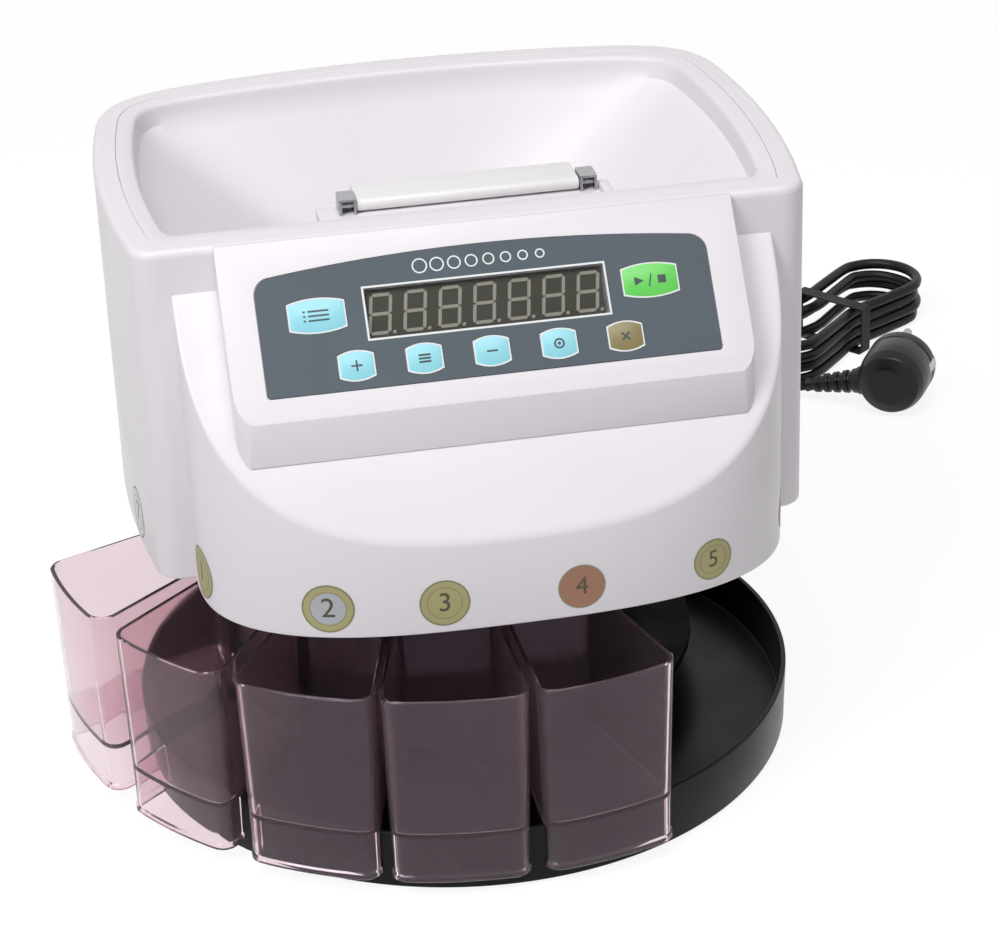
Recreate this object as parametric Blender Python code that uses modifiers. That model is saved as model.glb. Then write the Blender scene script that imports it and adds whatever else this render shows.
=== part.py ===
"""Coin counter: an electronic coin sorter with a hopper, a keypad and pull-out coin boxes.

All lengths are in metres. +Z is up, the keypad faces -Y, and X runs to the user's right.
The pieces are placed about the middle of the machine's base, and the whole frame is then
moved so that its origin lies under the middle of the machine's bounding box.
"""

import bpy
import bmesh
from math import acos, asin, atan2, ceil, cos, pi, radians, sin, sqrt, tan
from mathutils import Matrix, Vector

# Driving dimensions
BODY_BOTTOM = 0.1244
BODY_HEIGHT = 0.1416
BODY_HALF_WIDTH = 0.140
BODY_FRONT = -0.076
WALL = 0.0025
GAP = 0.0003
OVERRUN = 0.006

# The machine's turning axis, which the disc, the drum and the ring of boxes share
AXIS_Y = 0.0309

# Tray that everything stands on
TRAY_RADIUS = 0.143
TRAY_CENTRE_Y = 0.0025
TRAY_HEIGHT = 0.0277
TRAY_SKIRT_BOTTOM = 0.0012
TRAY_WALL = 0.0022
TRAY_DRAFT = 0.0008
TRAY_UNDERSIDE = 0.0040
TRAY_FLOOR = 0.0065
TRAY_LIP = 0.0007

# Rubber feet
FOOT_RADIUS = 0.0095
FOOT_TAPER = 0.0015
FOOT_RING = 0.108

# Plan of the housing
FRONT_CORNER = 0.011
FRONT_CORNER_STEPS = 4
MOUTH_CORNER = 0.004
SIDE_FRONT_INSET = 0.0062
SIDE_WIDEST_Y = 0.010
SIDE_BACK_Y = 0.072
BACK_CORNER_X = 0.090
BACK_BOW = 0.008
SHOULDER_INSET = 0.0028
SHOULDER_HEIGHT = 0.0034
SEAM_INSET = 0.0093
CEILING_DROP = 0.012

# Bowed apron under the keypad
APRON_INSET = 0.0214
APRON_DEPTH = 0.0683
APRON_POWER = 2.78
INCLINE_DROP = 0.0182
INCLINE_ANGLE = radians(51.3)
APRON_ROOT = 0.006

# Hopper
SEAM_GAP = 0.0003
LINER_WALL = 0.0022
MOUTH_INSET = 0.018
MOUTH_DROP = 0.0045
LIP_INSET = 0.021
LIP_DROP = 0.009
LINER_FLANGE_INSET = 0.0052
LINER_FLANGE = 0.0028
LIP_WALL = 0.0027
THROAT_HALF_WIDTH = 0.044
THROAT_HALF_DEPTH = 0.038
THROAT_POWER = 3.0
THROAT_DROP = 0.066

# Shelf, brackets and coin flap at the hopper's front
SHELF_LEFT_MARGIN = 0.0155
SHELF_RIGHT_MARGIN = 0.0135
SHELF_DROP = 0.0075
SHELF_SET_BACK = 0.0170
SHELF_DEPTH = 0.0300
SHELF_EDGE = 0.0030
SHELF_ROOT = 0.0125
FLAP_LEFT = -0.0405
FLAP_RIGHT = 0.0492
FLAP_SET_BACK = 0.0218
FLAP_AXIS_RISE = 0.0031
FLAP_THICKNESS = 0.0052
FLAP_REACH = 0.0187
FLAP_PIN_RADIUS = 0.0011
BRACKET_WIDTH = 0.0068
BRACKET_LENGTH = 0.0105
BRACKET_HEIGHT = 0.0062
BRACKET_SHEET = 0.0010
BRACKET_OVERHANG = 0.0030
SHELF_BLOCK_MARGIN = 0.0080
SHELF_BLOCK_DEPTH = 0.0225
SHELF_BLOCK_HEIGHT = 0.0030

# Keypad slab, measured along the incline from its top edge
SLAB_HALF_WIDTH = 0.1016
SLAB_THICKNESS = 0.0125
SLAB_LOW = -0.0574
SLAB_FOOT_LOW = -0.0713
SLAB_CORNER = 0.0085
SLAB_TAPER = 0.0005
SLAB_WALL = 0.0025
CAVITY_LOW_WALL = 0.0037
CAVITY_HIGH = 0.0010
OVERLAY_THICKNESS = 0.0006
OVERLAY_PROUD = 0.0003
OVERLAY_MARGIN = 0.0134
OVERLAY_LOW = -0.0478
OVERLAY_SIDE_TOP = -0.00165
OVERLAY_ARCH = 0.0059
OVERLAY_CORNER = 0.0070
OVERLAY_LOW_CORNER = 0.0015

# Display
DISPLAY_WIDTH_SHARE = 0.5261
DISPLAY_LOW = -0.0284
DISPLAY_HIGH = -0.0091
LENS_THICKNESS = 0.0022
MODULE_MARGIN = 0.0012

# Keypad board and its switches
BOARD_THICKNESS = 0.0016
BOARD_HEIGHT = 0.0020
BOARD_MARGIN = 0.0004
SWITCH_SIZE = 0.0060
SWITCH_HEIGHT = 0.0034

# Keys: place, width and height on the slab
LARGE_KEY_WIDTH = 0.0224
LARGE_KEY_HEIGHT = 0.0142
SMALL_KEY_WIDTH = 0.0142
SMALL_KEY_HEIGHT = 0.0124
KEY_ARCH = 0.0017
KEY_ROW = -0.0386
KEY_PITCH_SHARE = 0.2959
KEY_ROW_MIDDLE = -0.0009
LARGE_KEY_ROW = -0.0175
LEFT_LARGE_KEY_SHARE = 0.7438
RIGHT_LARGE_KEY_SHARE = 0.7279
KEY_PROUD = 0.0003
KEY_FLANGE = 0.0010
KEY_FLANGE_THICKNESS = 0.0010
KEY_STEM = 0.0050
KEY_TRAVEL = 0.0008

# Coin boxes: a ring about the machine's axis
BOX_RING = 0.1774
BOX_INNER_RING = 0.104
BOX_WIDTH = 0.061
BOX_TOP = 0.0932
BOX_SKIRT_BOTTOM = 0.0080
BOX_FOOT_HEIGHT = 0.0026
BOX_FOOT_PROUD = 0.0007
BOX_WALL = 0.0018
BOX_FLOOR = 0.0020
BOX_DRAFT = 0.0018
BOX_CORNER = 0.008
BOX_INNER_CORNER = 0.005
BOX_SKIRT_CLEARANCE = 0.0006
BOX_AIM_Y = 0.085
BOX_AZIMUTHS = [radians(a) for a in (-73.5, -50.7, -29.0, -8.7, 12.0)]
BOX_NAMES = ["coin_box_1", "coin_box_2", "coin_box_3", "coin_box_4", "coin_box_5"]
EMPTY_PLACE_AZIMUTHS = [radians(a) for a in (32.7, 54.0, 75.0)]

# Drum that carries the machine over the tray
DRUM_RADIUS = 0.084
DRUM_WALL = 0.003
DRUM_FLANGE = 0.004
DRUM_FLANGE_HEIGHT = 0.0035
LEDGE_RADIUS = 0.108
LEDGE_THICKNESS = 0.0035

# Rear housing on the drum, with its cover, screws, switch and cord boot
REAR_HALF_WIDTH = 0.042
REAR_LOW = 0.031
REAR_DROP = 0.0121
REAR_FRONT_Y = 0.098
REAR_BACK_Y = 0.131
REAR_WALL = 0.010
REAR_COVER_THICKNESS = 0.0025
SCREW_INSET = 0.005
SCREW_RADIUS = 0.0015
SCREW_LENGTH = 0.0085
SCREW_HEAD_RADIUS = 0.0032
SCREW_HEAD_HEIGHT = 0.0018
SWITCH_X = -0.014
SWITCH_Z = 0.062
SWITCH_FRAME_WIDTH = 0.021
SWITCH_FRAME_HEIGHT = 0.027
SWITCH_FRAME_DEPTH = 0.014
SWITCH_FRAME_WALL = 0.0030
SWITCH_FRAME_PROUD = 0.0018
SWITCH_BEZEL = 0.0016
ROCKER_DEPTH = 0.0080
ROCKER_DIP = 0.0014
ROCKER_TILT = radians(-8)
ROCKER_CLEARANCE = 0.0008
BOOT_X = 0.018
BOOT_Z = 0.054
BOOT_ROOT_RADIUS = 0.0068
BOOT_LENGTH = 0.034
BOOT_TIP_WALL = 0.0012
BOOT_FLANGE_RADIUS = 0.0095
BOOT_FLANGE = 0.0020

# Deck, rail, disc and drive
DECK_THICKNESS = 0.004
EXIT_NEAR = 0.1055
EXIT_FAR = 0.1190
EXIT_WIDTH = 0.029
RAIL_RADIUS = 0.085
RAIL_WALL = 0.007
RAIL_TO_BACK = 0.0051
RAIL_HEIGHT = 0.0136
RAIL_STEP = 0.0040
RAIL_WINDOW_HEIGHT = 0.0050
RAIL_WINDOW_WIDTH = 0.021
DISC_CLEARANCE = 0.002
DISC_THICKNESS = 0.003
DISC_LIFT = 0.0024
DISC_BOSS_RADIUS = 0.020
DISC_BOSS_HEIGHT = 0.0065
DISC_EDGE = 0.0010
COVER_BORE = 0.038
COVER_THICKNESS = 0.003
SENSOR_SIZE = (0.0075, 0.010, 0.008)
SENSOR_SET_BACK = 0.0006
SHAFT_RADIUS = 0.004
BEARING_RADIUS = 0.011
BEARING_FLANGE_RADIUS = 0.015
BEARING_FLANGE = 0.004
BEARING_NOSE_RADIUS = 0.009
BEARING_NOSE = 0.004
GEAR_MODULE = 0.0015
GEAR_TEETH = 48
PINION_TEETH = 12
GEAR_FACE = 0.006
GEAR_CLEARANCE = 0.0018
PINION_EXTRA = 0.0006
TOOTH_ADDENDUM_SHARE = 0.85
TOOTH_DEDENDUM_SHARE = 1.25
TOOTH_ROOT_SHARE = 0.62
TOOTH_TIP_SHARE = 0.26
MOTOR_PLATE_CLEARANCE = 0.005
MOTOR_PLATE_THICKNESS = 0.003
MOTOR_PLATE_RADIUS = 0.066
MOTOR_POST_RADIUS = 0.0045
MOTOR_POST_RING = 0.058
MOTOR_RADIUS = 0.022
MOTOR_LENGTH = 0.052
MOTOR_BOSS_RADIUS = 0.007
MOTOR_SHAFT_RADIUS = 0.0023
POWER_BOARD_SIZE = (0.092, 0.062, 0.0016)
SPACER_RADIUS = 0.0035
SPACER_HEIGHT = 0.006
SPACER_INSET = 0.006
TRANSFORMER_SIZE = (0.044, 0.036, 0.034)
TRANSFORMER_SHIFT = 0.018
PIECE_BEVEL = 0.0008

# Mains cord, whose route is chosen by hand
CORD_DIAMETER = 0.0058
CORD_POINT_SPACING = 0.0135
RUN_ROUTE = [
    (0.0182, 0.1800, 0.0530), (0.0200, 0.1910, 0.0480), (0.0245, 0.2020, 0.0375), (0.0310, 0.2125, 0.0235),
    (0.0405, 0.2235, 0.0110), (0.0540, 0.2345, 0.0042), (0.0700, 0.2440, 0.0031), (0.0900, 0.2560, 0.0031),
    (0.1120, 0.2695, 0.0031), (0.1340, 0.2835, 0.0031), (0.1540, 0.2970, 0.0031), (0.1712, 0.3068, 0.0031),
    (0.1845, 0.3114, 0.0031), (0.1975, 0.3098, 0.0035),
]
LEAD_ROUTE = [
    (0.2182, 0.3302, 0.0214), (0.2048, 0.3235, 0.0207), (0.1969, 0.3125, 0.0205), (0.1954, 0.2980, 0.0163),
    (0.2050, 0.2842, 0.0104),
]

# Hank: one tube in loops with round ends, drawn in at the waist by a strap
HANK_CENTRE = (0.2697, 0.3372)
HANK_HEADING = radians(38.5)
HANK_LAYERS = 4
HANK_TURNS = 3 + 19 / 24
HANK_RUN = 0.090
HANK_INNER_FOLD = 0.0176
HANK_STEP = 0.0064
HANK_LAYER_STEP = 0.0063
HANK_WAIST_SHARE = 0.60
HANK_WAIST_STEP_SHARE = 1.25
HANK_FOLD_POINTS = 8
HANK_RUN_POINTS = 4
TIE_WIDTH = 0.008
TIE_THICKNESS = 0.0008
TIE_CLEARANCE = 0.0008

# Plug, lying on its side
PLUG_CENTRE = (0.2790, 0.2510)
PLUG_HEADING = radians(58)
PLUG_DROOP = radians(12.2)
PLUG_RADIUS = 0.0185
PLUG_LENGTH = 0.034
PLUG_CHAMFER = 0.0035
PLUG_NECK_LENGTH = 0.030
PLUG_NECK_ROOT = 0.0075
PLUG_NECK_WALL = 0.0012
PLUG_NECK_SET_BACK = 0.0050
PIN_SPACING = 0.019
PIN_RADIUS = 0.0024
PIN_LENGTH = 0.019
PIN_TIP = 0.0008

# How finely round shapes are divided
BIG_STEPS = 72
INNER_STEPS = 48
MID_STEPS = 32
SMALL_STEPS = 20
TINY_STEPS = 12
SMOOTH_ANGLE = radians(35)

# Shares of a curve's reach, and of the shoulder's quarter turn
CORNER_PULL_SHARE = 0.62
SHOULDER_CLIMB_SHARES = (0.0, 0.25, 0.45, 0.6)

ROOT_NAME = "machine_frame"
CORD_NODES = ("cord_run", "cord_hank", "cord_lead", "hank_tie", "plug_body", "plug_pin_low", "plug_pin_high")

# Heights and places that follow from the sizes above
RIM_HEIGHT = BODY_BOTTOM + BODY_HEIGHT
BODY_BACK = AXIS_Y + RAIL_RADIUS + RAIL_TO_BACK
APRON_HALF_WIDTH = BODY_HALF_WIDTH - APRON_INSET
INCLINE_TOP = RIM_HEIGHT - INCLINE_DROP
THROAT_TOP = RIM_HEIGHT - THROAT_DROP
SHELF_TOP = RIM_HEIGHT - SHELF_DROP
SHELF_FRONT = BODY_FRONT + SHELF_SET_BACK
SHELF_BACK = SHELF_FRONT + SHELF_DEPTH
SHELF_LEFT = FLAP_LEFT - SHELF_LEFT_MARGIN
SHELF_RIGHT = FLAP_RIGHT + SHELF_RIGHT_MARGIN
SHELF_BLOCK_LEFT = FLAP_RIGHT + SHELF_BLOCK_MARGIN
SHELF_BLOCK_BACK = SHELF_FRONT + SHELF_BLOCK_DEPTH
FLAP_AXIS_Y = SHELF_FRONT + FLAP_SET_BACK
FLAP_AXIS_Z = SHELF_TOP + FLAP_AXIS_RISE
CAVITY_LOW = SLAB_LOW + CAVITY_LOW_WALL
OVERLAY_HALF_WIDTH = SLAB_HALF_WIDTH - OVERLAY_MARGIN
DISPLAY_HALF_WIDTH = OVERLAY_HALF_WIDTH * DISPLAY_WIDTH_SHARE
KEY_PITCH = OVERLAY_HALF_WIDTH * KEY_PITCH_SHARE
LEFT_LARGE_KEY_X = -OVERLAY_HALF_WIDTH * LEFT_LARGE_KEY_SHARE
RIGHT_LARGE_KEY_X = OVERLAY_HALF_WIDTH * RIGHT_LARGE_KEY_SHARE
DECK_UNDERSIDE = BODY_BOTTOM
DECK_TOP = DECK_UNDERSIDE + DECK_THICKNESS
DRUM_TOP = DECK_UNDERSIDE - GAP
REAR_HIGH = DRUM_TOP - REAR_DROP
BEARING_BOTTOM = DRUM_TOP - BEARING_FLANGE - BEARING_NOSE
GEAR_TOP = BEARING_BOTTOM - GEAR_CLEARANCE
MOTOR_PLATE_TOP = GEAR_TOP - GEAR_FACE - MOTOR_PLATE_CLEARANCE
DISC_RADIUS = RAIL_RADIUS - RAIL_WALL - DISC_CLEARANCE
BOX_UNDERSIDE = TRAY_HEIGHT + GAP
RAIL_BOTTOM = DECK_TOP + GAP
RAIL_TOP = RAIL_BOTTOM + RAIL_HEIGHT
COVER_BOTTOM = RAIL_TOP + GAP
COVER_TOP = COVER_BOTTOM + COVER_THICKNESS
SHOULDER_START = RIM_HEIGHT - SHOULDER_HEIGHT
CEILING_START = RIM_HEIGHT - CEILING_DROP
INCLINE_SLOPE = tan(INCLINE_ANGLE)
CORD_RADIUS = CORD_DIAMETER / 2


def clear_scene():
    for item in list(bpy.data.objects):
        bpy.data.objects.remove(item, do_unlink=True)


def collection(name):
    made = bpy.data.collections.new(name)
    bpy.context.scene.collection.children.link(made)
    return made


def material(name, colour, roughness, metallic=0.0, alpha=1.0):
    made = bpy.data.materials.new(name)
    made.use_nodes = True
    shader = made.node_tree.nodes["Principled BSDF"]
    shader.inputs["Base Color"].default_value = (*colour, 1.0)
    shader.inputs["Roughness"].default_value = roughness
    shader.inputs["Metallic"].default_value = metallic
    shader.inputs["Alpha"].default_value = alpha
    return made


def add_object(name, mesh, finish=None, parent=None, location=(0, 0, 0), rotation=(0, 0, 0)):
    """Make an object of a mesh: a part where it has a finish, otherwise a cutter or a guide."""
    made = bpy.data.objects.new(name, mesh)
    made.location = location
    made.rotation_euler = rotation
    made.parent = parent or ROOT
    if finish is None:
        CUTTERS.objects.link(made)
        made.hide_render = True
        made.display_type = "WIRE"
    else:
        PARTS.objects.link(made)
        mesh.materials.append(FINISHES[finish])
    return made


def shade(mesh):
    mesh.shade_smooth()
    mesh.set_sharp_from_angle(angle=SMOOTH_ANGLE)


def mesh_from(name, build):
    """Fill a new mesh by calling build on an empty bmesh."""
    work = bmesh.new()
    build(work)
    bmesh.ops.recalc_face_normals(work, faces=work.faces)
    mesh = bpy.data.meshes.new(name)
    work.to_mesh(mesh)
    work.free()
    shade(mesh)
    return mesh


def block(name, size, centre, **place):
    def build(work):
        bmesh.ops.create_cube(work, size=1)
        bmesh.ops.scale(work, vec=size, verts=work.verts)
        bmesh.ops.translate(work, vec=centre, verts=work.verts)
    return add_object(name, mesh_from(name, build), **place)


def rod(name, radius, low, high, steps=SMALL_STEPS, end_radius=None, centre=(0, 0), **place):
    """A cylinder or cone along Z, from low to high."""
    def build(work):
        bmesh.ops.create_cone(work, cap_ends=True, segments=steps, radius1=radius,
                              radius2=radius if end_radius is None else end_radius, depth=high - low)
        bmesh.ops.translate(work, vec=(*centre, (low + high) / 2), verts=work.verts)
    return add_object(name, mesh_from(name, build), **place)


def turned(name, profile, steps=MID_STEPS, closed=False, **place):
    """Turn a profile of (radius, height) points about Z, down its outer side."""
    mesh = bpy.data.meshes.new(name)
    count = len(profile)
    edges = [(i, i + 1) for i in range(count - 1)]
    if closed:
        edges.append((count - 1, 0))
    mesh.from_pydata([(r, 0, z) for r, z in profile], edges, [])
    made = add_object(name, mesh, **place)
    screw = made.modifiers.new("turn", "SCREW")
    screw.steps = steps
    screw.render_steps = steps
    screw.use_merge_vertices = True
    screw.merge_threshold = 0.00001
    screw.use_smooth_shade = True
    return made


def plate_mesh(name, outlines, low, high):
    """A flat plate from 2D outlines, the first of them its edge and the rest its holes."""
    curve = bpy.data.curves.new(name, "CURVE")
    curve.dimensions = "2D"
    curve.fill_mode = "BOTH"
    curve.extrude = (high - low) / 2
    for outline in outlines:
        spline = curve.splines.new("POLY")
        spline.points.add(len(outline) - 1)
        for point, (x, y) in zip(spline.points, outline):
            point.co = (x, y, 0, 1)
        spline.use_cyclic_u = True
    holder = bpy.data.objects.new(name, curve)
    CUTTERS.objects.link(holder)
    bpy.context.view_layer.update()
    evaluated = holder.evaluated_get(bpy.context.evaluated_depsgraph_get())
    mesh = bpy.data.meshes.new_from_object(evaluated)
    bpy.data.objects.remove(holder, do_unlink=True)
    work = bmesh.new()
    work.from_mesh(mesh)
    bmesh.ops.remove_doubles(work, verts=work.verts, dist=0.00001)
    bmesh.ops.translate(work, vec=(0, 0, (low + high) / 2), verts=work.verts)
    bmesh.ops.recalc_face_normals(work, faces=work.faces)
    work.to_mesh(mesh)
    work.free()
    mesh.name = name
    shade(mesh)
    return mesh


def plate(name, outlines, low, high, **place):
    return add_object(name, plate_mesh(name, outlines, low, high), **place)


def loft(name, rings, looped=False, **place):
    """A solid through rings of equally many points, capped at both ends or joined in a loop."""
    def build(work):
        rows = [[work.verts.new(point) for point in ring] for ring in rings]
        count = len(rows[0])
        pairs = list(zip(rows, rows[1:]))
        if looped:
            pairs.append((rows[-1], rows[0]))
        else:
            work.faces.new(rows[0])
            work.faces.new(rows[-1])
        for lower, upper in pairs:
            for i in range(count):
                j = (i + 1) % count
                work.faces.new((lower[i], lower[j], upper[j], upper[i]))
    return add_object(name, mesh_from(name, build), **place)


def combine(target, tool, operation="DIFFERENCE"):
    step = target.modifiers.new(tool.name, "BOOLEAN")
    step.operation = operation
    step.object = tool
    step.solver = "EXACT"
    return target


def ring_at(outline, z):
    return [(x, y, z) for x, y in outline]


def inset(outline, amount):
    """Move a counter-clockwise outline inwards by an amount, along its corners' bisectors."""
    count = len(outline)
    moved = []
    for i in range(count):
        before = Vector(outline[i]) - Vector(outline[i - 1])
        after = Vector(outline[(i + 1) % count]) - Vector(outline[i])
        a = Vector((-before.y, before.x)).normalized()
        b = Vector((-after.y, after.x)).normalized()
        middle = (a + b).normalized()
        reach = amount / max(middle.dot(a), 0.5)
        moved.append((outline[i][0] + middle.x * reach, outline[i][1] + middle.y * reach))
    return moved


def fillet(corners, segments=4):
    """Round the corners of an outline, given as (x, y, radius)."""
    count = len(corners)
    rounded = []
    for i in range(count):
        x, y, radius = corners[i]
        here = Vector((x, y))
        if radius == 0:
            rounded.append((x, y))
            continue
        to_last = (Vector(corners[i - 1][:2]) - here).normalized()
        to_next = (Vector(corners[(i + 1) % count][:2]) - here).normalized()
        half = acos(max(-1, min(1, to_last.dot(to_next)))) / 2
        centre = here + (to_last + to_next).normalized() * radius / sin(half)
        start = here + to_last * radius / tan(half) - centre
        end = here + to_next * radius / tan(half) - centre
        turn = atan2(start.x * end.y - start.y * end.x, start.dot(end))
        for k in range(segments + 1):
            angle = turn * k / segments
            spoke = Matrix.Rotation(angle, 2) @ start
            rounded.append((centre.x + spoke.x, centre.y + spoke.y))
    return rounded


def bezier(a, b, c, d, segments):
    """Points on a cubic curve after its start, up to and with its end."""
    points = []
    for k in range(1, segments + 1):
        t = k / segments
        u = 1 - t
        weights = (u ** 3, 3 * u * u * t, 3 * u * t * t, t ** 3)
        points.append(tuple(sum(w * p[n] for w, p in zip(weights, (a, b, c, d))) for n in (0, 1)))
    return points


def side_x(y):
    """Half the housing's width at y: its sides bow gently outwards."""
    run = SIDE_WIDEST_Y - (BODY_FRONT + FRONT_CORNER)
    return BODY_HALF_WIDTH - SIDE_FRONT_INSET * ((y - SIDE_WIDEST_Y) / run) ** 2


def back_y(x):
    return BODY_BACK - BACK_BOW * (x / BACK_CORNER_X) ** 2


def right_side():
    """The housing's plan from the front face's right end to the middle of its back."""
    front_y = BODY_FRONT + FRONT_CORNER
    points = front_corner(0)
    side_steps = 6
    for k in range(1, side_steps + 1):
        y = front_y + (SIDE_BACK_Y - front_y) * k / side_steps
        points.append((side_x(y), y))
    start = (side_x(SIDE_BACK_Y), SIDE_BACK_Y)
    end = (BACK_CORNER_X, back_y(BACK_CORNER_X))
    reach = (end[1] - start[1]) * CORNER_PULL_SHARE
    lean = (start[0] - side_x(SIDE_BACK_Y - reach)) / reach
    fall = 2 * BACK_BOW / BACK_CORNER_X
    pull_x = (start[0] - end[0]) * CORNER_PULL_SHARE
    points += bezier(start, (start[0] + lean * reach, start[1] + reach),
                     (end[0] + pull_x, end[1] - fall * pull_x), end, 7)
    back_steps = 4
    for k in range(1, back_steps + 1):
        x = BACK_CORNER_X * (1 - k / back_steps)
        points.append((x, back_y(x)))
    return points


def mirrored(points):
    """Complete a right half, given from front to back, counter-clockwise."""
    left = [(-x, y) for x, y in reversed(points) if x > 0]
    return points + left


def front_corner(amount):
    """The five points of the right front corner, an amount inside the plan."""
    radius = max(FRONT_CORNER - amount, MOUTH_CORNER)
    x = side_x(BODY_FRONT + FRONT_CORNER) - amount - radius
    y = BODY_FRONT + amount + radius
    angles = [-pi / 2 + pi / 2 * k / FRONT_CORNER_STEPS for k in range(FRONT_CORNER_STEPS + 1)]
    return [(x + radius * cos(a), y + radius * sin(a)) for a in angles]


def body_ring(amount=0.0):
    """The housing's plan moved inwards by an amount, its front corners never sharper than the mouth's."""
    ring = inset(mirrored(right_side()), amount)
    corner = front_corner(amount)
    count = len(corner)
    ring[:count] = corner
    ring[-count:] = [(-x, y) for x, y in reversed(corner)]
    return ring


def superellipse(half_width, half_depth, power, angle):
    c, s = cos(angle), sin(angle)
    x = half_width * (1 if c >= 0 else -1) * abs(c) ** (2 / power)
    y = half_depth * (1 if s >= 0 else -1) * abs(s) ** (2 / power)
    return x, y


def apron_bow(steps=30):
    """The apron's front, from its left end to its right end."""
    points = []
    for k in range(steps + 1):
        angle = pi + pi * k / steps
        x, y = superellipse(APRON_HALF_WIDTH, APRON_DEPTH, APRON_POWER, angle)
        points.append((x, BODY_FRONT + y))
    return points


def apron_outline():
    root = BODY_FRONT + APRON_ROOT
    return apron_bow() + [(APRON_HALF_WIDTH, root), (-APRON_HALF_WIDTH, root)]


def apron_inside(amount, back):
    """The apron's plan moved inwards by an amount, and cut off straight behind."""
    bow = [(x, min(y, back)) for x, y in inset(apron_outline(), amount)]
    bow[-2:] = [(x, back) for x, _ in bow[-2:]]
    return bow


def incline_height(y):
    return INCLINE_TOP + (y - BODY_FRONT) * INCLINE_SLOPE


def shoulder_rings(steps=4):
    rings = []
    for k in range(steps + 1):
        angle = pi / 2 * k / steps
        rings.append(ring_at(body_ring(SHOULDER_INSET * (1 - cos(angle))),
                             SHOULDER_START + SHOULDER_HEIGHT * sin(angle)))
    return rings


def lip_underside():
    return RIM_HEIGHT - LIP_WALL


def make_housing():
    housing = loft("main_housing", [ring_at(body_ring(), BODY_BOTTOM)] + shoulder_rings(), finish="shell")
    bow = apron_outline()
    apron = loft("apron_form", [ring_at(bow, BODY_BOTTOM), [(x, y, incline_height(y)) for x, y in bow]])
    combine(housing, apron, "UNION")
    inner = body_ring(WALL)
    opening = body_ring(SEAM_INSET + SEAM_GAP)
    room = loft("housing_room", [
        ring_at(inner, BODY_BOTTOM - OVERRUN), ring_at(inner, CEILING_START),
        ring_at(body_ring(WALL * 2), lip_underside() - LIP_WALL),
        ring_at(body_ring(LINER_FLANGE_INSET - GAP), lip_underside()),
        ring_at(opening, lip_underside()), ring_at(opening, RIM_HEIGHT + OVERRUN)])
    combine(housing, room)
    slant = WALL / cos(INCLINE_ANGLE)
    small_bow = apron_inside(WALL, BODY_FRONT + APRON_ROOT)
    apron_room = loft("apron_room", [
        ring_at(small_bow, BODY_BOTTOM - OVERRUN),
        [(x, y, incline_height(y) - slant) for x, y in small_bow]])
    combine(housing, apron_room)
    window = block("harness_window", (SLAB_HALF_WIDTH, (CAVITY_HIGH - CAVITY_LOW) / 3, WALL * 4),
                   (0, (CAVITY_LOW + CAVITY_HIGH) / 2, 0), parent=PANEL)
    combine(housing, window)


def throat_point(x, y, grow):
    """The throat's wall in the direction of a point of the housing's plan."""
    angle = atan2(y - AXIS_Y, x)
    c, s = abs(cos(angle)), abs(sin(angle))
    width, depth = THROAT_HALF_WIDTH + grow, THROAT_HALF_DEPTH + grow
    reach = ((c / width) ** THROAT_POWER + (s / depth) ** THROAT_POWER) ** (-1 / THROAT_POWER)
    return reach * cos(angle), AXIS_Y + reach * sin(angle)


def throat_ring(outline, z, grow=0.0):
    return [(*throat_point(x, y, grow), z) for x, y in outline]


def make_hopper_liner():
    outline = body_ring()
    seam = SEAM_INSET + SEAM_GAP + GAP
    throat_bottom = COVER_TOP + GAP
    flange_top = lip_underside() - GAP
    flange_bottom = flange_top - LINER_FLANGE
    wall_drop = LINER_WALL / cos(pi / 4)
    lip_z = RIM_HEIGHT - LIP_DROP
    rings = [
        ring_at(body_ring(seam), RIM_HEIGHT - GAP),
        ring_at(body_ring(MOUTH_INSET), RIM_HEIGHT - MOUTH_DROP),
        ring_at(body_ring(LIP_INSET), lip_z),
        throat_ring(outline, THROAT_TOP),
        throat_ring(outline, throat_bottom),
        throat_ring(outline, throat_bottom, LINER_WALL),
        throat_ring(outline, THROAT_TOP - LINER_WALL / 2, LINER_WALL),
        ring_at(body_ring(LIP_INSET - LINER_WALL / 2), lip_z - wall_drop),
        ring_at(body_ring(MOUTH_INSET - LINER_WALL / 2), flange_bottom - LINER_WALL / 2),
        ring_at(body_ring(LINER_FLANGE_INSET), flange_bottom),
        ring_at(body_ring(LINER_FLANGE_INSET), flange_top),
        ring_at(body_ring(seam), flange_top),
    ]
    liner = loft("hopper_liner", rings, looped=True, finish="shell")
    combine(liner, shelf_form(), "UNION")
    combine(liner, shelf_block_form(), "UNION")


def along_x(name, outline, left, right, **place):
    """Extrude an outline of (y, z) points along X."""
    mesh = plate_mesh(name, [outline], left, right)
    mesh.transform(Matrix(((0, 0, 1, 0), (1, 0, 0, 0), (0, 1, 0, 0), (0, 0, 0, 1))))
    shade(mesh)
    return add_object(name, mesh, **place)


def shelf_form():
    root = SHELF_TOP - SHELF_ROOT
    outline = [(SHELF_FRONT, SHELF_TOP), (SHELF_FRONT, root), (SHELF_FRONT + SHELF_EDGE * 2, root),
               (SHELF_BACK, SHELF_TOP - SHELF_EDGE), (SHELF_BACK, SHELF_TOP)]
    return along_x("shelf_form", outline, SHELF_LEFT, SHELF_RIGHT)


def shelf_block_form():
    low, high = SHELF_TOP - SHELF_EDGE / 2, SHELF_TOP + SHELF_BLOCK_HEIGHT
    front = SHELF_FRONT + SHELF_EDGE / 2
    outline = [(front, low), (SHELF_BLOCK_BACK, low), (SHELF_BLOCK_BACK, high), (front, high)]
    return along_x("shelf_block_form", outline, SHELF_BLOCK_LEFT, SHELF_RIGHT - SHELF_EDGE / 2)


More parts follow.
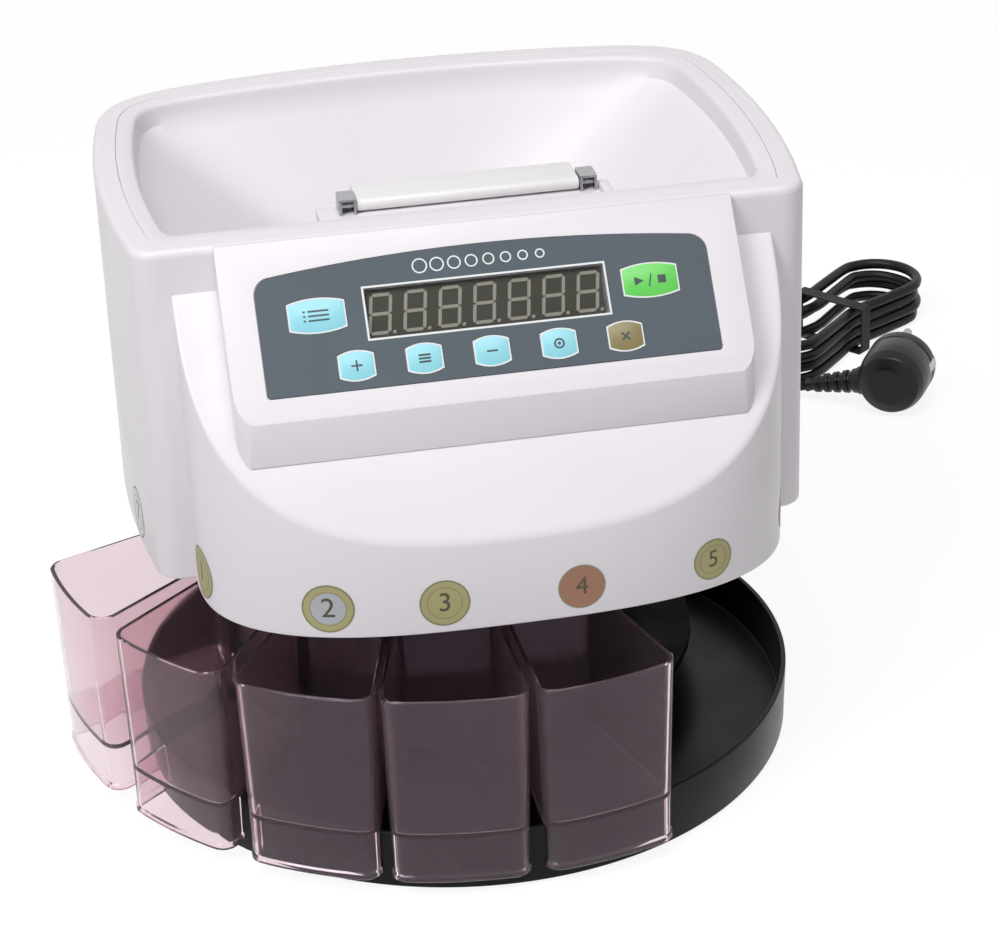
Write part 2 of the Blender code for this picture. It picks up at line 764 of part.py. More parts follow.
def flap_outline():
    """The flap seen from its end, rounded about its hinge."""
    radius = FLAP_THICKNESS / 2
    points = [(0, -radius), (FLAP_REACH - radius / 2, -radius), (FLAP_REACH, -radius / 2),
              (FLAP_REACH, radius / 2), (FLAP_REACH - radius / 2, radius), (0, radius)]
    turns = 6
    for k in range(1, turns):
        angle = pi / 2 + pi * k / turns
        points.append((radius * cos(angle), radius * sin(angle)))
    return points


def make_flap():
    hinge = (0, FLAP_AXIS_Y, FLAP_AXIS_Z)
    flap = along_x("coin_flap", flap_outline(), FLAP_LEFT, FLAP_RIGHT, finish="flap", location=hinge)
    bore = along_x("flap_bore", circle(FLAP_PIN_RADIUS + GAP, TINY_STEPS), FLAP_LEFT - OVERRUN,
                   FLAP_RIGHT + OVERRUN, location=hinge)
    combine(flap, bore)
    pin_left = FLAP_LEFT - GAP - BRACKET_WIDTH
    pin_right = FLAP_RIGHT + GAP + BRACKET_WIDTH
    along_x("flap_pin", circle(FLAP_PIN_RADIUS, TINY_STEPS), pin_left, pin_right, finish="steel",
            location=hinge)
    for name, left in (("flap_bracket_left", FLAP_LEFT - GAP - BRACKET_WIDTH),
                       ("flap_bracket_right", FLAP_RIGHT + GAP)):
        make_bracket(name, left)


def make_bracket(name, left):
    """A bent steel strip: a channel open below and at its front, pierced by the flap's pin."""
    front = FLAP_AXIS_Y - BRACKET_OVERHANG
    bottom = SHELF_TOP + GAP
    middle = (left + BRACKET_WIDTH / 2, front + BRACKET_LENGTH / 2, bottom + BRACKET_HEIGHT / 2)
    bracket = block(name, (BRACKET_WIDTH, BRACKET_LENGTH, BRACKET_HEIGHT), middle, finish="steel")
    room_width = BRACKET_WIDTH - BRACKET_SHEET * 2
    room = block(name + "_room", (room_width, BRACKET_LENGTH, BRACKET_HEIGHT),
                 (middle[0], middle[1] - BRACKET_SHEET, middle[2] - BRACKET_SHEET))
    combine(bracket, room)
    bore = along_x(name + "_bore", circle(FLAP_PIN_RADIUS + GAP, TINY_STEPS), left - OVERRUN,
                   left + BRACKET_WIDTH + OVERRUN, location=(0, FLAP_AXIS_Y, FLAP_AXIS_Z))
    combine(bracket, bore)


def circle(radius, steps, centre=(0, 0)):
    return [(centre[0] + radius * cos(2 * pi * k / steps), centre[1] + radius * sin(2 * pi * k / steps))
            for k in range(steps)]


def panel_point(y, z):
    """A point of the machine's (y, z) plane, in the panel's own (along, out) directions."""
    dy, dz = y - BODY_FRONT, z - INCLINE_TOP
    c, s = cos(INCLINE_ANGLE), sin(INCLINE_ANGLE)
    return dy * c + dz * s, dz * c - dy * s


def machine_point(along, out):
    c, s = cos(INCLINE_ANGLE), sin(INCLINE_ANGLE)
    return BODY_FRONT + along * c - out * s, INCLINE_TOP + along * s + out * c


def slab_section():
    """The keypad slab seen from its end, in (y, z): it laps the housing's front shoulder."""
    points = [machine_point(SLAB_FOOT_LOW, GAP), (BODY_FRONT - GAP, INCLINE_TOP)]
    for share in SHOULDER_CLIMB_SHARES:
        angle = pi / 2 * share
        y = BODY_FRONT + SHOULDER_INSET * (1 - cos(angle)) - GAP * cos(angle)
        z = SHOULDER_START + SHOULDER_HEIGHT * sin(angle) + GAP * sin(angle)
        points.append((y - GAP, z))
    points.append((points[-1][0], RIM_HEIGHT))
    slab_top = machine_point(slab_high(), SLAB_THICKNESS)
    points.append(slab_top)
    points.append(machine_point(SLAB_LOW, SLAB_THICKNESS))
    return points


def slab_high():
    """How far up the incline the slab's face reaches, where it meets the rim's level."""
    return (RIM_HEIGHT - INCLINE_TOP - SLAB_THICKNESS * cos(INCLINE_ANGLE)) / sin(INCLINE_ANGLE)


def barrel(width, height, arch, grow=0.0, steps=5):
    """A key's outline: straight sides, with a bowed top and bottom."""
    half_width, half_height = width / 2 + grow, height / 2 + grow
    side = half_height - arch
    points = []
    for sign in (1, -1):
        for k in range(steps + 1):
            share = 1 - 2 * k / steps
            points.append((sign * half_width * share, sign * (side + arch * (1 - share * share))))
    return points


def keys():
    """Every key: its name, place on the slab, size and finish."""
    made = [("key_summary", LEFT_LARGE_KEY_X, LARGE_KEY_ROW, LARGE_KEY_WIDTH, LARGE_KEY_HEIGHT, "cyan"),
            ("key_start", RIGHT_LARGE_KEY_X, LARGE_KEY_ROW, LARGE_KEY_WIDTH, LARGE_KEY_HEIGHT, "green")]
    small = [("key_plus", "cyan"), ("key_batch", "cyan"), ("key_minus", "cyan"), ("key_store", "cyan"),
             ("key_clear", "olive")]
    middle = (len(small) - 1) / 2
    for k, (name, finish) in enumerate(small):
        x = KEY_ROW_MIDDLE + KEY_PITCH * (k - middle)
        made.append((name, x, KEY_ROW, SMALL_KEY_WIDTH, SMALL_KEY_HEIGHT, finish))
    return made


def moved(outline, x, y):
    return [(px + x, py + y) for px, py in outline]


def key_holes():
    return [moved(barrel(w, h, KEY_ARCH, GAP), x, y) for _, x, y, w, h, _ in keys()]


def display_hole(grow):
    low, high, half = DISPLAY_LOW - grow, DISPLAY_HIGH + grow, DISPLAY_HALF_WIDTH + grow
    return [(-half, low), (half, low), (half, high), (-half, high)]


def overlay_outline(grow=0.0):
    half = OVERLAY_HALF_WIDTH + grow
    low = OVERLAY_LOW - grow
    corners = [(-half, low, OVERLAY_LOW_CORNER), (half, low, OVERLAY_LOW_CORNER),
               (half, OVERLAY_SIDE_TOP + grow, OVERLAY_CORNER)]
    arch_steps = 8
    for k in range(1, arch_steps):
        share = 1 - 2 * k / arch_steps
        corners.append((half * share, OVERLAY_SIDE_TOP + grow + OVERLAY_ARCH * (1 - share * share), 0))
    corners.append((-half, OVERLAY_SIDE_TOP + grow, OVERLAY_CORNER))
    return fillet(corners)


def make_bezel():
    bezel = along_x("panel_bezel", slab_section(), -SLAB_HALF_WIDTH, SLAB_HALF_WIDTH, finish="shell")
    front = machine_point(SLAB_LOW, SLAB_THICKNESS)[0] - GAP
    low_half, high_half = SLAB_HALF_WIDTH - SLAB_TAPER, SLAB_HALF_WIDTH - GAP
    outline = fillet([(-low_half, front, SLAB_CORNER), (low_half, front, SLAB_CORNER),
                      (high_half, BODY_FRONT + FRONT_CORNER, 0), (-high_half, BODY_FRONT + FRONT_CORNER, 0)])
    combine(bezel, plate("slab_trim", [outline], BODY_BOTTOM, RIM_HEIGHT + OVERRUN), "INTERSECT")
    inner_half = SLAB_HALF_WIDTH - SLAB_WALL
    room_top = SLAB_THICKNESS - SLAB_WALL
    room = block("slab_room", (inner_half * 2, CAVITY_HIGH - CAVITY_LOW, room_top + OVERRUN),
                 (0, (CAVITY_LOW + CAVITY_HIGH) / 2, (room_top - OVERRUN) / 2), parent=PANEL)
    combine(bezel, room)
    recess_floor = SLAB_THICKNESS + OVERLAY_PROUD - OVERLAY_THICKNESS - GAP
    recess = plate("overlay_recess", [overlay_outline(GAP)], recess_floor, SLAB_THICKNESS + OVERRUN,
                   parent=PANEL)
    combine(bezel, recess)
    holes = plate("bezel_holes", key_holes() + [display_hole(GAP)], room_top - OVERRUN / 2,
                  SLAB_THICKNESS + OVERRUN * 2, parent=PANEL)
    combine(bezel, holes)


def make_overlay():
    top = SLAB_THICKNESS + OVERLAY_PROUD
    plate("panel_overlay", [overlay_outline()] + key_holes() + [display_hole(GAP)], top - OVERLAY_THICKNESS,
          top, finish="slate", parent=PANEL)


def make_display():
    top = SLAB_THICKNESS + OVERLAY_PROUD
    plate("display_window", [display_hole(0)], top - LENS_THICKNESS, top, finish="lens", parent=PANEL)
    low = BOARD_HEIGHT + BOARD_THICKNESS + GAP
    high = top - LENS_THICKNESS - GAP
    width = (DISPLAY_HALF_WIDTH - MODULE_MARGIN) * 2
    height = DISPLAY_HIGH - DISPLAY_LOW - MODULE_MARGIN * 2
    middle = (0, (DISPLAY_LOW + DISPLAY_HIGH) / 2, (low + high) / 2)
    block("display_module", (width, height, high - low), middle, finish="module", parent=PANEL)


def make_board():
    half = SLAB_HALF_WIDTH - SLAB_WALL - BOARD_MARGIN
    low, high = CAVITY_LOW + BOARD_MARGIN, CAVITY_HIGH - BOARD_MARGIN
    board = block("key_board", (half * 2, high - low, BOARD_THICKNESS),
                  (0, (low + high) / 2, BOARD_HEIGHT + BOARD_THICKNESS / 2), finish="board", parent=PANEL)
    switches = [moved(square(SWITCH_SIZE), x, y) for _, x, y, _, _, _ in keys()]
    bodies = plate("switch_bodies", switches, BOARD_HEIGHT + BOARD_THICKNESS / 2,
                   BOARD_HEIGHT + BOARD_THICKNESS + SWITCH_HEIGHT, parent=PANEL)
    combine(board, bodies, "UNION")


def square(size):
    half = size / 2
    return [(-half, -half), (half, -half), (half, half), (-half, half)]


def make_key(name, x, y, width, height, finish):
    """A key: its cap, the flange that keeps it in, and the stem that presses its switch."""
    top = SLAB_THICKNESS + OVERLAY_PROUD + KEY_PROUD
    flange_top = SLAB_THICKNESS - SLAB_WALL - GAP
    flange_bottom = flange_top - KEY_FLANGE_THICKNESS
    stem_bottom = BOARD_HEIGHT + BOARD_THICKNESS + SWITCH_HEIGHT + KEY_TRAVEL + GAP
    cap = barrel(width, height, KEY_ARCH)
    flange = barrel(width, height, KEY_ARCH, KEY_FLANGE)
    stem = barrel(KEY_STEM, KEY_STEM, KEY_ARCH / 3)
    loft(name, [ring_at(cap, top), ring_at(cap, flange_top), ring_at(flange, flange_top),
                ring_at(flange, flange_bottom), ring_at(stem, flange_bottom), ring_at(stem, stem_bottom)],
         finish=finish, parent=PANEL, location=(x, y, 0))


def ring_point(azimuth, radius):
    """A point about the machine's axis; azimuth 0 is straight to the front, and grows to the right."""
    return radius * sin(azimuth), AXIS_Y - radius * cos(azimuth)


def box_outline(azimuth):
    """A coin box's plan at its top: a bowed front, and sides that draw together behind it."""
    half_angle = asin(BOX_WIDTH / 2 / BOX_RING)
    bow_steps = 5
    corners = []
    for k in range(bow_steps + 1):
        angle = azimuth - half_angle + 2 * half_angle * k / bow_steps
        radius = BOX_CORNER if k in (0, bow_steps) else 0
        corners.append((*ring_point(angle, BOX_RING), radius))
    for corner in (corners[bow_steps], corners[0]):
        corners.append((*toward_aim(corner), BOX_INNER_CORNER))
    return fillet(corners)


def toward_aim(corner):
    """Where the line from a front corner to the point that all boxes aim at meets the inner ring."""
    start = Vector((corner[0], corner[1] - AXIS_Y))
    aim = (Vector((0, BOX_AIM_Y - AXIS_Y)) - start).normalized()
    along = -start.dot(aim)
    reach = along - sqrt(BOX_INNER_RING ** 2 - (start.length_squared - along ** 2))
    point = start + aim * reach
    return point.x, point.y + AXIS_Y


def make_coin_box(name, azimuth, tray_form):
    outline = box_outline(azimuth)
    foot_top = BOX_SKIRT_BOTTOM + BOX_FOOT_HEIGHT
    low = inset(outline, BOX_DRAFT)
    foot = inset(outline, BOX_DRAFT - BOX_FOOT_PROUD)
    coin_box = loft(name, [
        ring_at(foot, BOX_SKIRT_BOTTOM), ring_at(foot, foot_top),
        ring_at(low, foot_top + BOX_FOOT_PROUD), ring_at(outline, BOX_TOP)], finish="smoke")
    inner_low = inset(outline, BOX_DRAFT + BOX_WALL)
    inner_high = inset(outline, BOX_WALL)
    floor = BOX_UNDERSIDE + BOX_FLOOR
    room = loft(name + "_room", [ring_at(inner_low, floor), ring_at(inner_high, BOX_TOP + OVERRUN)])
    combine(coin_box, room)
    under = loft(name + "_under", [
        ring_at(inner_low, BOX_SKIRT_BOTTOM - OVERRUN), ring_at(inner_low, BOX_UNDERSIDE)])
    combine(coin_box, under)
    combine(coin_box, tray_form)


def make_coin_boxes():
    reach = TRAY_RADIUS + BOX_SKIRT_CLEARANCE
    tray_form = rod("tray_clearance", reach, TRAY_SKIRT_BOTTOM - OVERRUN, BOX_UNDERSIDE, steps=BIG_STEPS,
                    centre=(0, TRAY_CENTRE_Y))
    for name, azimuth in zip(BOX_NAMES, BOX_AZIMUTHS):
        make_coin_box(name, azimuth, tray_form)


def make_tray():
    wall_in = TRAY_RADIUS - TRAY_WALL
    foot_in = TRAY_RADIUS - TRAY_DRAFT - TRAY_WALL * 1.5
    turned("base_tray", [
        (0, TRAY_FLOOR), (wall_in - TRAY_DRAFT, TRAY_FLOOR), (wall_in, TRAY_HEIGHT),
        (TRAY_RADIUS - TRAY_LIP, TRAY_HEIGHT), (TRAY_RADIUS, TRAY_HEIGHT - TRAY_LIP),
        (TRAY_RADIUS - TRAY_DRAFT, TRAY_SKIRT_BOTTOM), (foot_in, TRAY_SKIRT_BOTTOM),
        (foot_in, TRAY_UNDERSIDE), (0, TRAY_UNDERSIDE)],
        steps=BIG_STEPS, finish="tray", location=(0, TRAY_CENTRE_Y, 0))


def make_feet():
    top = TRAY_UNDERSIDE - GAP
    for k in range(4):
        angle = pi / 4 + pi / 2 * k
        place = (FOOT_RING * cos(angle), TRAY_CENTRE_Y + FOOT_RING * sin(angle), 0)
        turned("foot_%d" % (k + 1), [
            (0, top), (FOOT_RADIUS, top), (FOOT_RADIUS, top / 2), (FOOT_RADIUS - FOOT_TAPER, 0), (0, 0)],
            steps=SMALL_STEPS, finish="rubber", location=place)


def make_drum():
    bottom = TRAY_FLOOR + GAP
    inner = DRUM_RADIUS - DRUM_WALL
    flange = DRUM_RADIUS + DRUM_FLANGE
    ledge_top = TRAY_HEIGHT
    ledge_bottom = ledge_top - LEDGE_THICKNESS
    rim_bottom = DRUM_TOP - DRUM_FLANGE_HEIGHT
    drum = turned("chassis_drum", [
        (flange, DRUM_TOP), (flange, rim_bottom), (DRUM_RADIUS, rim_bottom),
        (DRUM_RADIUS, ledge_top), (LEDGE_RADIUS, ledge_top), (LEDGE_RADIUS, ledge_bottom),
        (DRUM_RADIUS, ledge_bottom), (DRUM_RADIUS, bottom), (inner, bottom), (inner, DRUM_TOP)],
        steps=INNER_STEPS, closed=True, finish="chassis", location=(0, AXIS_Y, 0))
    depth = REAR_BACK_Y - REAR_FRONT_Y
    middle_z = (REAR_LOW + REAR_HIGH) / 2
    rear = block("rear_form", (REAR_HALF_WIDTH * 2, depth, REAR_HIGH - REAR_LOW),
                 (0, REAR_FRONT_Y + depth / 2, middle_z))
    combine(drum, rear, "UNION")
    room = block("rear_room", (REAR_HALF_WIDTH * 2 - REAR_WALL * 2, depth * 2,
                               REAR_HIGH - REAR_LOW - REAR_WALL * 2),
                 (0, REAR_FRONT_Y + depth / 2 + OVERRUN - depth / 4, middle_z))
    combine(drum, room)
    for name, x, z in screw_places():
        bore = rod(name + "_bore", SCREW_RADIUS + GAP, -SCREW_LENGTH, OVERRUN, steps=TINY_STEPS,
                   location=(x, REAR_BACK_Y, z), rotation=(-pi / 2, 0, 0))
        combine(drum, bore)


def screw_places():
    places = []
    reach = REAR_HALF_WIDTH - SCREW_INSET
    for k, (side, z) in enumerate([(-1, REAR_LOW + SCREW_INSET), (1, REAR_LOW + SCREW_INSET),
                                   (-1, REAR_HIGH - SCREW_INSET), (1, REAR_HIGH - SCREW_INSET)]):
        places.append(("rear_screw_%d" % (k + 1), side * reach, z))
    return places


def rear_cover_front():
    return REAR_BACK_Y + GAP


def rear_cover_back():
    return rear_cover_front() + REAR_COVER_THICKNESS


def on_back(name, outlines, near, far, **place):
    """A plate on the machine's back: outlines in (x, z), from near to far along +Y."""
    mesh = plate_mesh(name, outlines, near, far)
    mesh.transform(Matrix(((1, 0, 0, 0), (0, 0, 1, 0), (0, 1, 0, 0), (0, 0, 0, 1))))
    mesh.flip_normals()
    shade(mesh)
    return add_object(name, mesh, **place)


def rectangle(width, height, x=0.0, y=0.0):
    w, h = width / 2, height / 2
    return [(x - w, y - h), (x + w, y - h), (x + w, y + h), (x - w, y + h)]


def make_rear_cover():
    outline = rectangle(REAR_HALF_WIDTH * 2, REAR_HIGH - REAR_LOW, 0, (REAR_LOW + REAR_HIGH) / 2)
    holes = [circle(SCREW_RADIUS + GAP, TINY_STEPS, (x, z)) for _, x, z in screw_places()]
    holes.append(rectangle(SWITCH_FRAME_WIDTH + GAP * 2, SWITCH_FRAME_HEIGHT + GAP * 2, SWITCH_X, SWITCH_Z))
    holes.append(circle(BOOT_ROOT_RADIUS + GAP, SMALL_STEPS, (BOOT_X, BOOT_Z)))
    on_back("rear_cover", [outline] + holes, rear_cover_front(), rear_cover_back(), finish="chassis")


def make_screws():
    seat = rear_cover_back() - REAR_BACK_Y + GAP
    rounding = SCREW_HEAD_HEIGHT / 2
    for name, x, z in screw_places():
        turned(name, [
            (0, seat + SCREW_HEAD_HEIGHT), (SCREW_HEAD_RADIUS - rounding, seat + SCREW_HEAD_HEIGHT),
            (SCREW_HEAD_RADIUS, seat + rounding), (SCREW_HEAD_RADIUS, seat), (SCREW_RADIUS, seat),
            (SCREW_RADIUS, GAP - SCREW_LENGTH), (0, GAP - SCREW_LENGTH)],
            steps=TINY_STEPS, finish="screw", location=(x, REAR_BACK_Y, z), rotation=(-pi / 2, 0, 0))


def make_switch():
    middle = (SWITCH_X, SWITCH_Z)
    face = rear_cover_back() + GAP
    frame_front = face - SWITCH_FRAME_DEPTH
    inner = rectangle(SWITCH_FRAME_WIDTH - SWITCH_FRAME_WALL * 2, SWITCH_FRAME_HEIGHT - SWITCH_FRAME_WALL * 2,
                      *middle)
    frame = on_back("switch_frame", [rectangle(SWITCH_FRAME_WIDTH, SWITCH_FRAME_HEIGHT, *middle)],
                    frame_front, face + SWITCH_FRAME_PROUD, finish="switch")
    rim = on_back("switch_rim_form", [rectangle(SWITCH_FRAME_WIDTH + SWITCH_BEZEL * 2,
                                                SWITCH_FRAME_HEIGHT + SWITCH_BEZEL * 2, *middle)],
                  face, face + SWITCH_FRAME_PROUD)
    combine(frame, rim, "UNION")
    room = on_back("switch_room", [inner], frame_front + SWITCH_FRAME_WALL,
                   face + SWITCH_FRAME_PROUD + OVERRUN)
    combine(frame, room)
    width = SWITCH_FRAME_WIDTH - SWITCH_FRAME_WALL * 2 - ROCKER_CLEARANCE
    height = SWITCH_FRAME_HEIGHT - SWITCH_FRAME_WALL * 2 - ROCKER_CLEARANCE * 3
    back, front = -ROCKER_DEPTH / 2, ROCKER_DEPTH / 2
    outline = [(back, -height / 2), (front, -height / 2), (front - ROCKER_DIP, 0), (front, height / 2),
               (back, height / 2)]
    along_x("switch_rocker", outline, -width / 2, width / 2, finish="rocker",
            location=(SWITCH_X, face - ROCKER_DEPTH / 4, SWITCH_Z), rotation=(ROCKER_TILT, 0, 0))


def soften(item, width, segments=2):
    step = item.modifiers.new("edges", "BEVEL")
    step.width = width
    step.segments = segments
    step.limit_method = "ANGLE"
    return item


def make_boot():
    """The cord's strain relief, through the rear cover and held by a flange on either side."""
    near = rear_cover_front() - GAP - BOOT_FLANGE
    outer_flange = rear_cover_back() + GAP
    tip = rear_cover_back() + BOOT_LENGTH
    turned("cord_boot", [
        (0, tip), (CORD_RADIUS + BOOT_TIP_WALL, tip), (BOOT_ROOT_RADIUS, outer_flange + BOOT_FLANGE),
        (BOOT_FLANGE_RADIUS, outer_flange + BOOT_FLANGE), (BOOT_FLANGE_RADIUS, outer_flange),
        (BOOT_ROOT_RADIUS, outer_flange), (BOOT_ROOT_RADIUS, near + BOOT_FLANGE),
        (BOOT_FLANGE_RADIUS, near + BOOT_FLANGE), (BOOT_FLANGE_RADIUS, near), (0, near)],
        steps=SMALL_STEPS, finish="cord", location=(BOOT_X, 0, BOOT_Z), rotation=(-pi / 2, 0, 0))


def make_deck():
    """The plate that closes the housing and its apron from below, with a coin exit over each box."""
    deck = plate("deck_plate", [body_ring(WALL + GAP)], DECK_UNDERSIDE, DECK_TOP, finish="chassis")
    tongue = apron_inside(WALL + GAP, BODY_FRONT + APRON_ROOT - GAP)
    combine(deck, plate("deck_tongue", [tongue], DECK_UNDERSIDE, DECK_TOP), "UNION")
    bore = circle(BEARING_RADIUS + GAP, SMALL_STEPS, (0, AXIS_Y))
    exits = [bore] + slots(EXIT_NEAR, EXIT_FAR, EXIT_WIDTH)
    combine(deck, plate("deck_exits", exits, DECK_UNDERSIDE - OVERRUN, DECK_TOP + OVERRUN))


def slots(near, far, width):
    """Eight outlines about the axis, one for each place that a coin box can have."""
    outlines = []
    for azimuth in BOX_AZIMUTHS + EMPTY_PLACE_AZIMUTHS:
        out = Vector(ring_point(azimuth, 1)) - Vector((0, AXIS_Y))
        across = Vector((-out.y, out.x))
        middle = Vector((0, AXIS_Y))
        outlines.append([tuple(middle + out * reach + across * side * width / 2)
                         for reach, side in ((near, -1), (far, -1), (far, 1), (near, 1))])
    return outlines


def make_rail():
    inner = RAIL_RADIUS - RAIL_WALL
    rail = turned("sorting_rail", [
        (RAIL_RADIUS, RAIL_TOP), (RAIL_RADIUS, RAIL_BOTTOM), (inner, RAIL_BOTTOM), (inner, RAIL_TOP)],
        steps=INNER_STEPS, closed=True, finish="rail", location=(0, AXIS_Y, 0))
    low = RAIL_BOTTOM + RAIL_STEP
    windows = slots(inner - OVERRUN, RAIL_RADIUS + OVERRUN, RAIL_WINDOW_WIDTH)
    for k, window in enumerate(windows):
        combine(rail, plate("rail_window_%d" % (k + 1), [window], low, low + RAIL_WINDOW_HEIGHT))


def make_disc():
    low = DECK_TOP + DISC_LIFT
    top = low + DISC_THICKNESS
    boss_top = top + DISC_BOSS_HEIGHT
    bore = SHAFT_RADIUS + GAP
    bore_top = boss_top - DISC_THICKNESS
    turned("coin_disc", [
        (0, boss_top), (DISC_BOSS_RADIUS / 2, boss_top - DISC_EDGE), (DISC_BOSS_RADIUS, top + DISC_EDGE),
        (DISC_BOSS_RADIUS + DISC_EDGE * 2, top), (DISC_RADIUS - DISC_EDGE, top),
        (DISC_RADIUS, top - DISC_EDGE),
        (DISC_RADIUS, low), (bore, low), (bore, bore_top), (0, bore_top)],
        steps=INNER_STEPS, finish="disc", location=(0, AXIS_Y, 0))
    turned("disc_cover", [
        (RAIL_RADIUS, COVER_TOP), (RAIL_RADIUS, COVER_BOTTOM), (COVER_BORE, COVER_BOTTOM),
        (COVER_BORE, COVER_TOP)],
        steps=INNER_STEPS, closed=True, finish="rail", location=(0, AXIS_Y, 0))
    shaft_top = bore_top - GAP
    rod("drive_shaft", SHAFT_RADIUS, MOTOR_PLATE_TOP + GAP, shaft_top, finish="steel",
        location=(0, AXIS_Y, 0))


def make_sensor():
    """The optical sensor that counts coins, beside the rail between two exits."""
    azimuth = (BOX_AZIMUTHS[-1] + EMPTY_PLACE_AZIMUTHS[0]) / 2
    reach = RAIL_RADIUS + SENSOR_SET_BACK + SENSOR_SIZE[1] / 2
    x, y = ring_point(azimuth, reach)
    block("coin_sensor", SENSOR_SIZE, (0, 0, SENSOR_SIZE[2] / 2), finish="module",
          location=(x, y, DECK_TOP + GAP), rotation=(0, 0, azimuth))


def make_bearing():
    flange_top = DECK_UNDERSIDE - GAP
    flange_bottom = flange_top - BEARING_FLANGE
    bore = SHAFT_RADIUS + GAP
    turned("shaft_bearing", [
        (BEARING_RADIUS, DECK_TOP), (BEARING_RADIUS, flange_top), (BEARING_FLANGE_RADIUS, flange_top),
        (BEARING_FLANGE_RADIUS, flange_bottom), (BEARING_NOSE_RADIUS, flange_bottom),
        (BEARING_NOSE_RADIUS, BEARING_BOTTOM), (bore, BEARING_BOTTOM), (bore, DECK_TOP)],
        steps=SMALL_STEPS, closed=True, finish="brass", location=(0, AXIS_Y, 0))


def gear_outline(teeth, offset):
    """A spur gear's outline; the offset turns it by a share of one tooth."""
    pitch = teeth * GEAR_MODULE / 2
    tip = pitch + GEAR_MODULE * TOOTH_ADDENDUM_SHARE
    root = pitch - GEAR_MODULE * TOOTH_DEDENDUM_SHARE
    step = 2 * pi / teeth
    points = []
    for k in range(teeth):
        middle = (k + offset) * step
        for radius, share in ((root, -TOOTH_ROOT_SHARE), (tip, -TOOTH_TIP_SHARE), (tip, TOOTH_TIP_SHARE),
                              (root, TOOTH_ROOT_SHARE)):
            angle = middle + share * step / 2
            points.append((radius * cos(angle), radius * sin(angle)))
    return points


def motor_distance():
    return (GEAR_TEETH + PINION_TEETH) * GEAR_MODULE / 2


def make_gears():
    low = GEAR_TOP - GEAR_FACE
    bore = circle(SHAFT_RADIUS + GAP, SMALL_STEPS)
    # a gap between two teeth faces the motor, which lies straight behind the shaft
    facing = 0.5 + GEAR_TEETH / 4
    plate("drive_gear", [gear_outline(GEAR_TEETH, facing), bore], low, GEAR_TOP, finish="gear",
          location=(0, AXIS_Y, 0))
    pinion_bore = circle(MOTOR_SHAFT_RADIUS + GAP, TINY_STEPS)
    plate("motor_pinion", [gear_outline(PINION_TEETH, PINION_TEETH / 4), pinion_bore], low - PINION_EXTRA,
          GEAR_TOP + PINION_EXTRA, finish="brass", location=(0, AXIS_Y + motor_distance(), 0))


def make_motor():
    place = (0, AXIS_Y + motor_distance(), 0)
    plate_bottom = MOTOR_PLATE_TOP - MOTOR_PLATE_THICKNESS
    top = plate_bottom - GAP
    bottom = top - MOTOR_LENGTH
    rounding = MOTOR_RADIUS / 8
    bore = MOTOR_SHAFT_RADIUS + GAP
    bore_bottom = top - MOTOR_LENGTH / 8
    turned("drive_motor", [
        (0, bore_bottom), (bore, bore_bottom), (bore, top), (MOTOR_RADIUS - rounding, top),
        (MOTOR_RADIUS, top - rounding), (MOTOR_RADIUS, bottom + rounding), (MOTOR_RADIUS - rounding, bottom),
        (MOTOR_BOSS_RADIUS, bottom), (MOTOR_BOSS_RADIUS, bottom - rounding), (0, bottom - rounding)],
        steps=MID_STEPS, finish="motor", location=place)
    rod("motor_shaft", MOTOR_SHAFT_RADIUS, bore_bottom + GAP, GEAR_TOP + PINION_EXTRA * 2, steps=TINY_STEPS,
        finish="steel", location=place)
    carrier = rod("motor_plate", MOTOR_PLATE_RADIUS, plate_bottom, MOTOR_PLATE_TOP, steps=MID_STEPS,
                  finish="zinc", location=(0, AXIS_Y, 0))
    hole = rod("motor_plate_hole", MOTOR_SHAFT_RADIUS + GAP * 2, plate_bottom - OVERRUN,
               MOTOR_PLATE_TOP + OVERRUN, steps=TINY_STEPS, location=place)
    combine(carrier, hole)
    for k in range(3):
        angle = -pi / 2 + 2 * pi * k / 3
        post = rod("motor_post_%d" % (k + 1), MOTOR_POST_RADIUS, MOTOR_PLATE_TOP - MOTOR_PLATE_THICKNESS / 2,
                   DECK_UNDERSIDE - GAP, steps=TINY_STEPS,
                   location=(MOTOR_POST_RING * cos(angle), AXIS_Y + MOTOR_POST_RING * sin(angle), 0))
        combine(carrier, post, "UNION")


def make_power_board():
    length, width, thickness = POWER_BOARD_SIZE
    bottom = TRAY_FLOOR + GAP
    board_bottom = bottom + SPACER_HEIGHT
    board = block("power_board", POWER_BOARD_SIZE, (0, AXIS_Y, board_bottom + thickness / 2), finish="board")
    spacers = [circle(SPACER_RADIUS, TINY_STEPS, (sx * (length / 2 - SPACER_INSET),
                                                 AXIS_Y + sy * (width / 2 - SPACER_INSET)))
               for sx in (-1, 1) for sy in (-1, 1)]
    combine(board, plate("board_spacers", spacers, bottom, board_bottom + thickness / 2), "UNION")
    low = board_bottom + thickness + GAP
    transformer = block("transformer", TRANSFORMER_SIZE,
                        (TRANSFORMER_SHIFT, AXIS_Y, low + TRANSFORMER_SIZE[2] / 2), finish="motor")
    soften(transformer, PIECE_BEVEL)


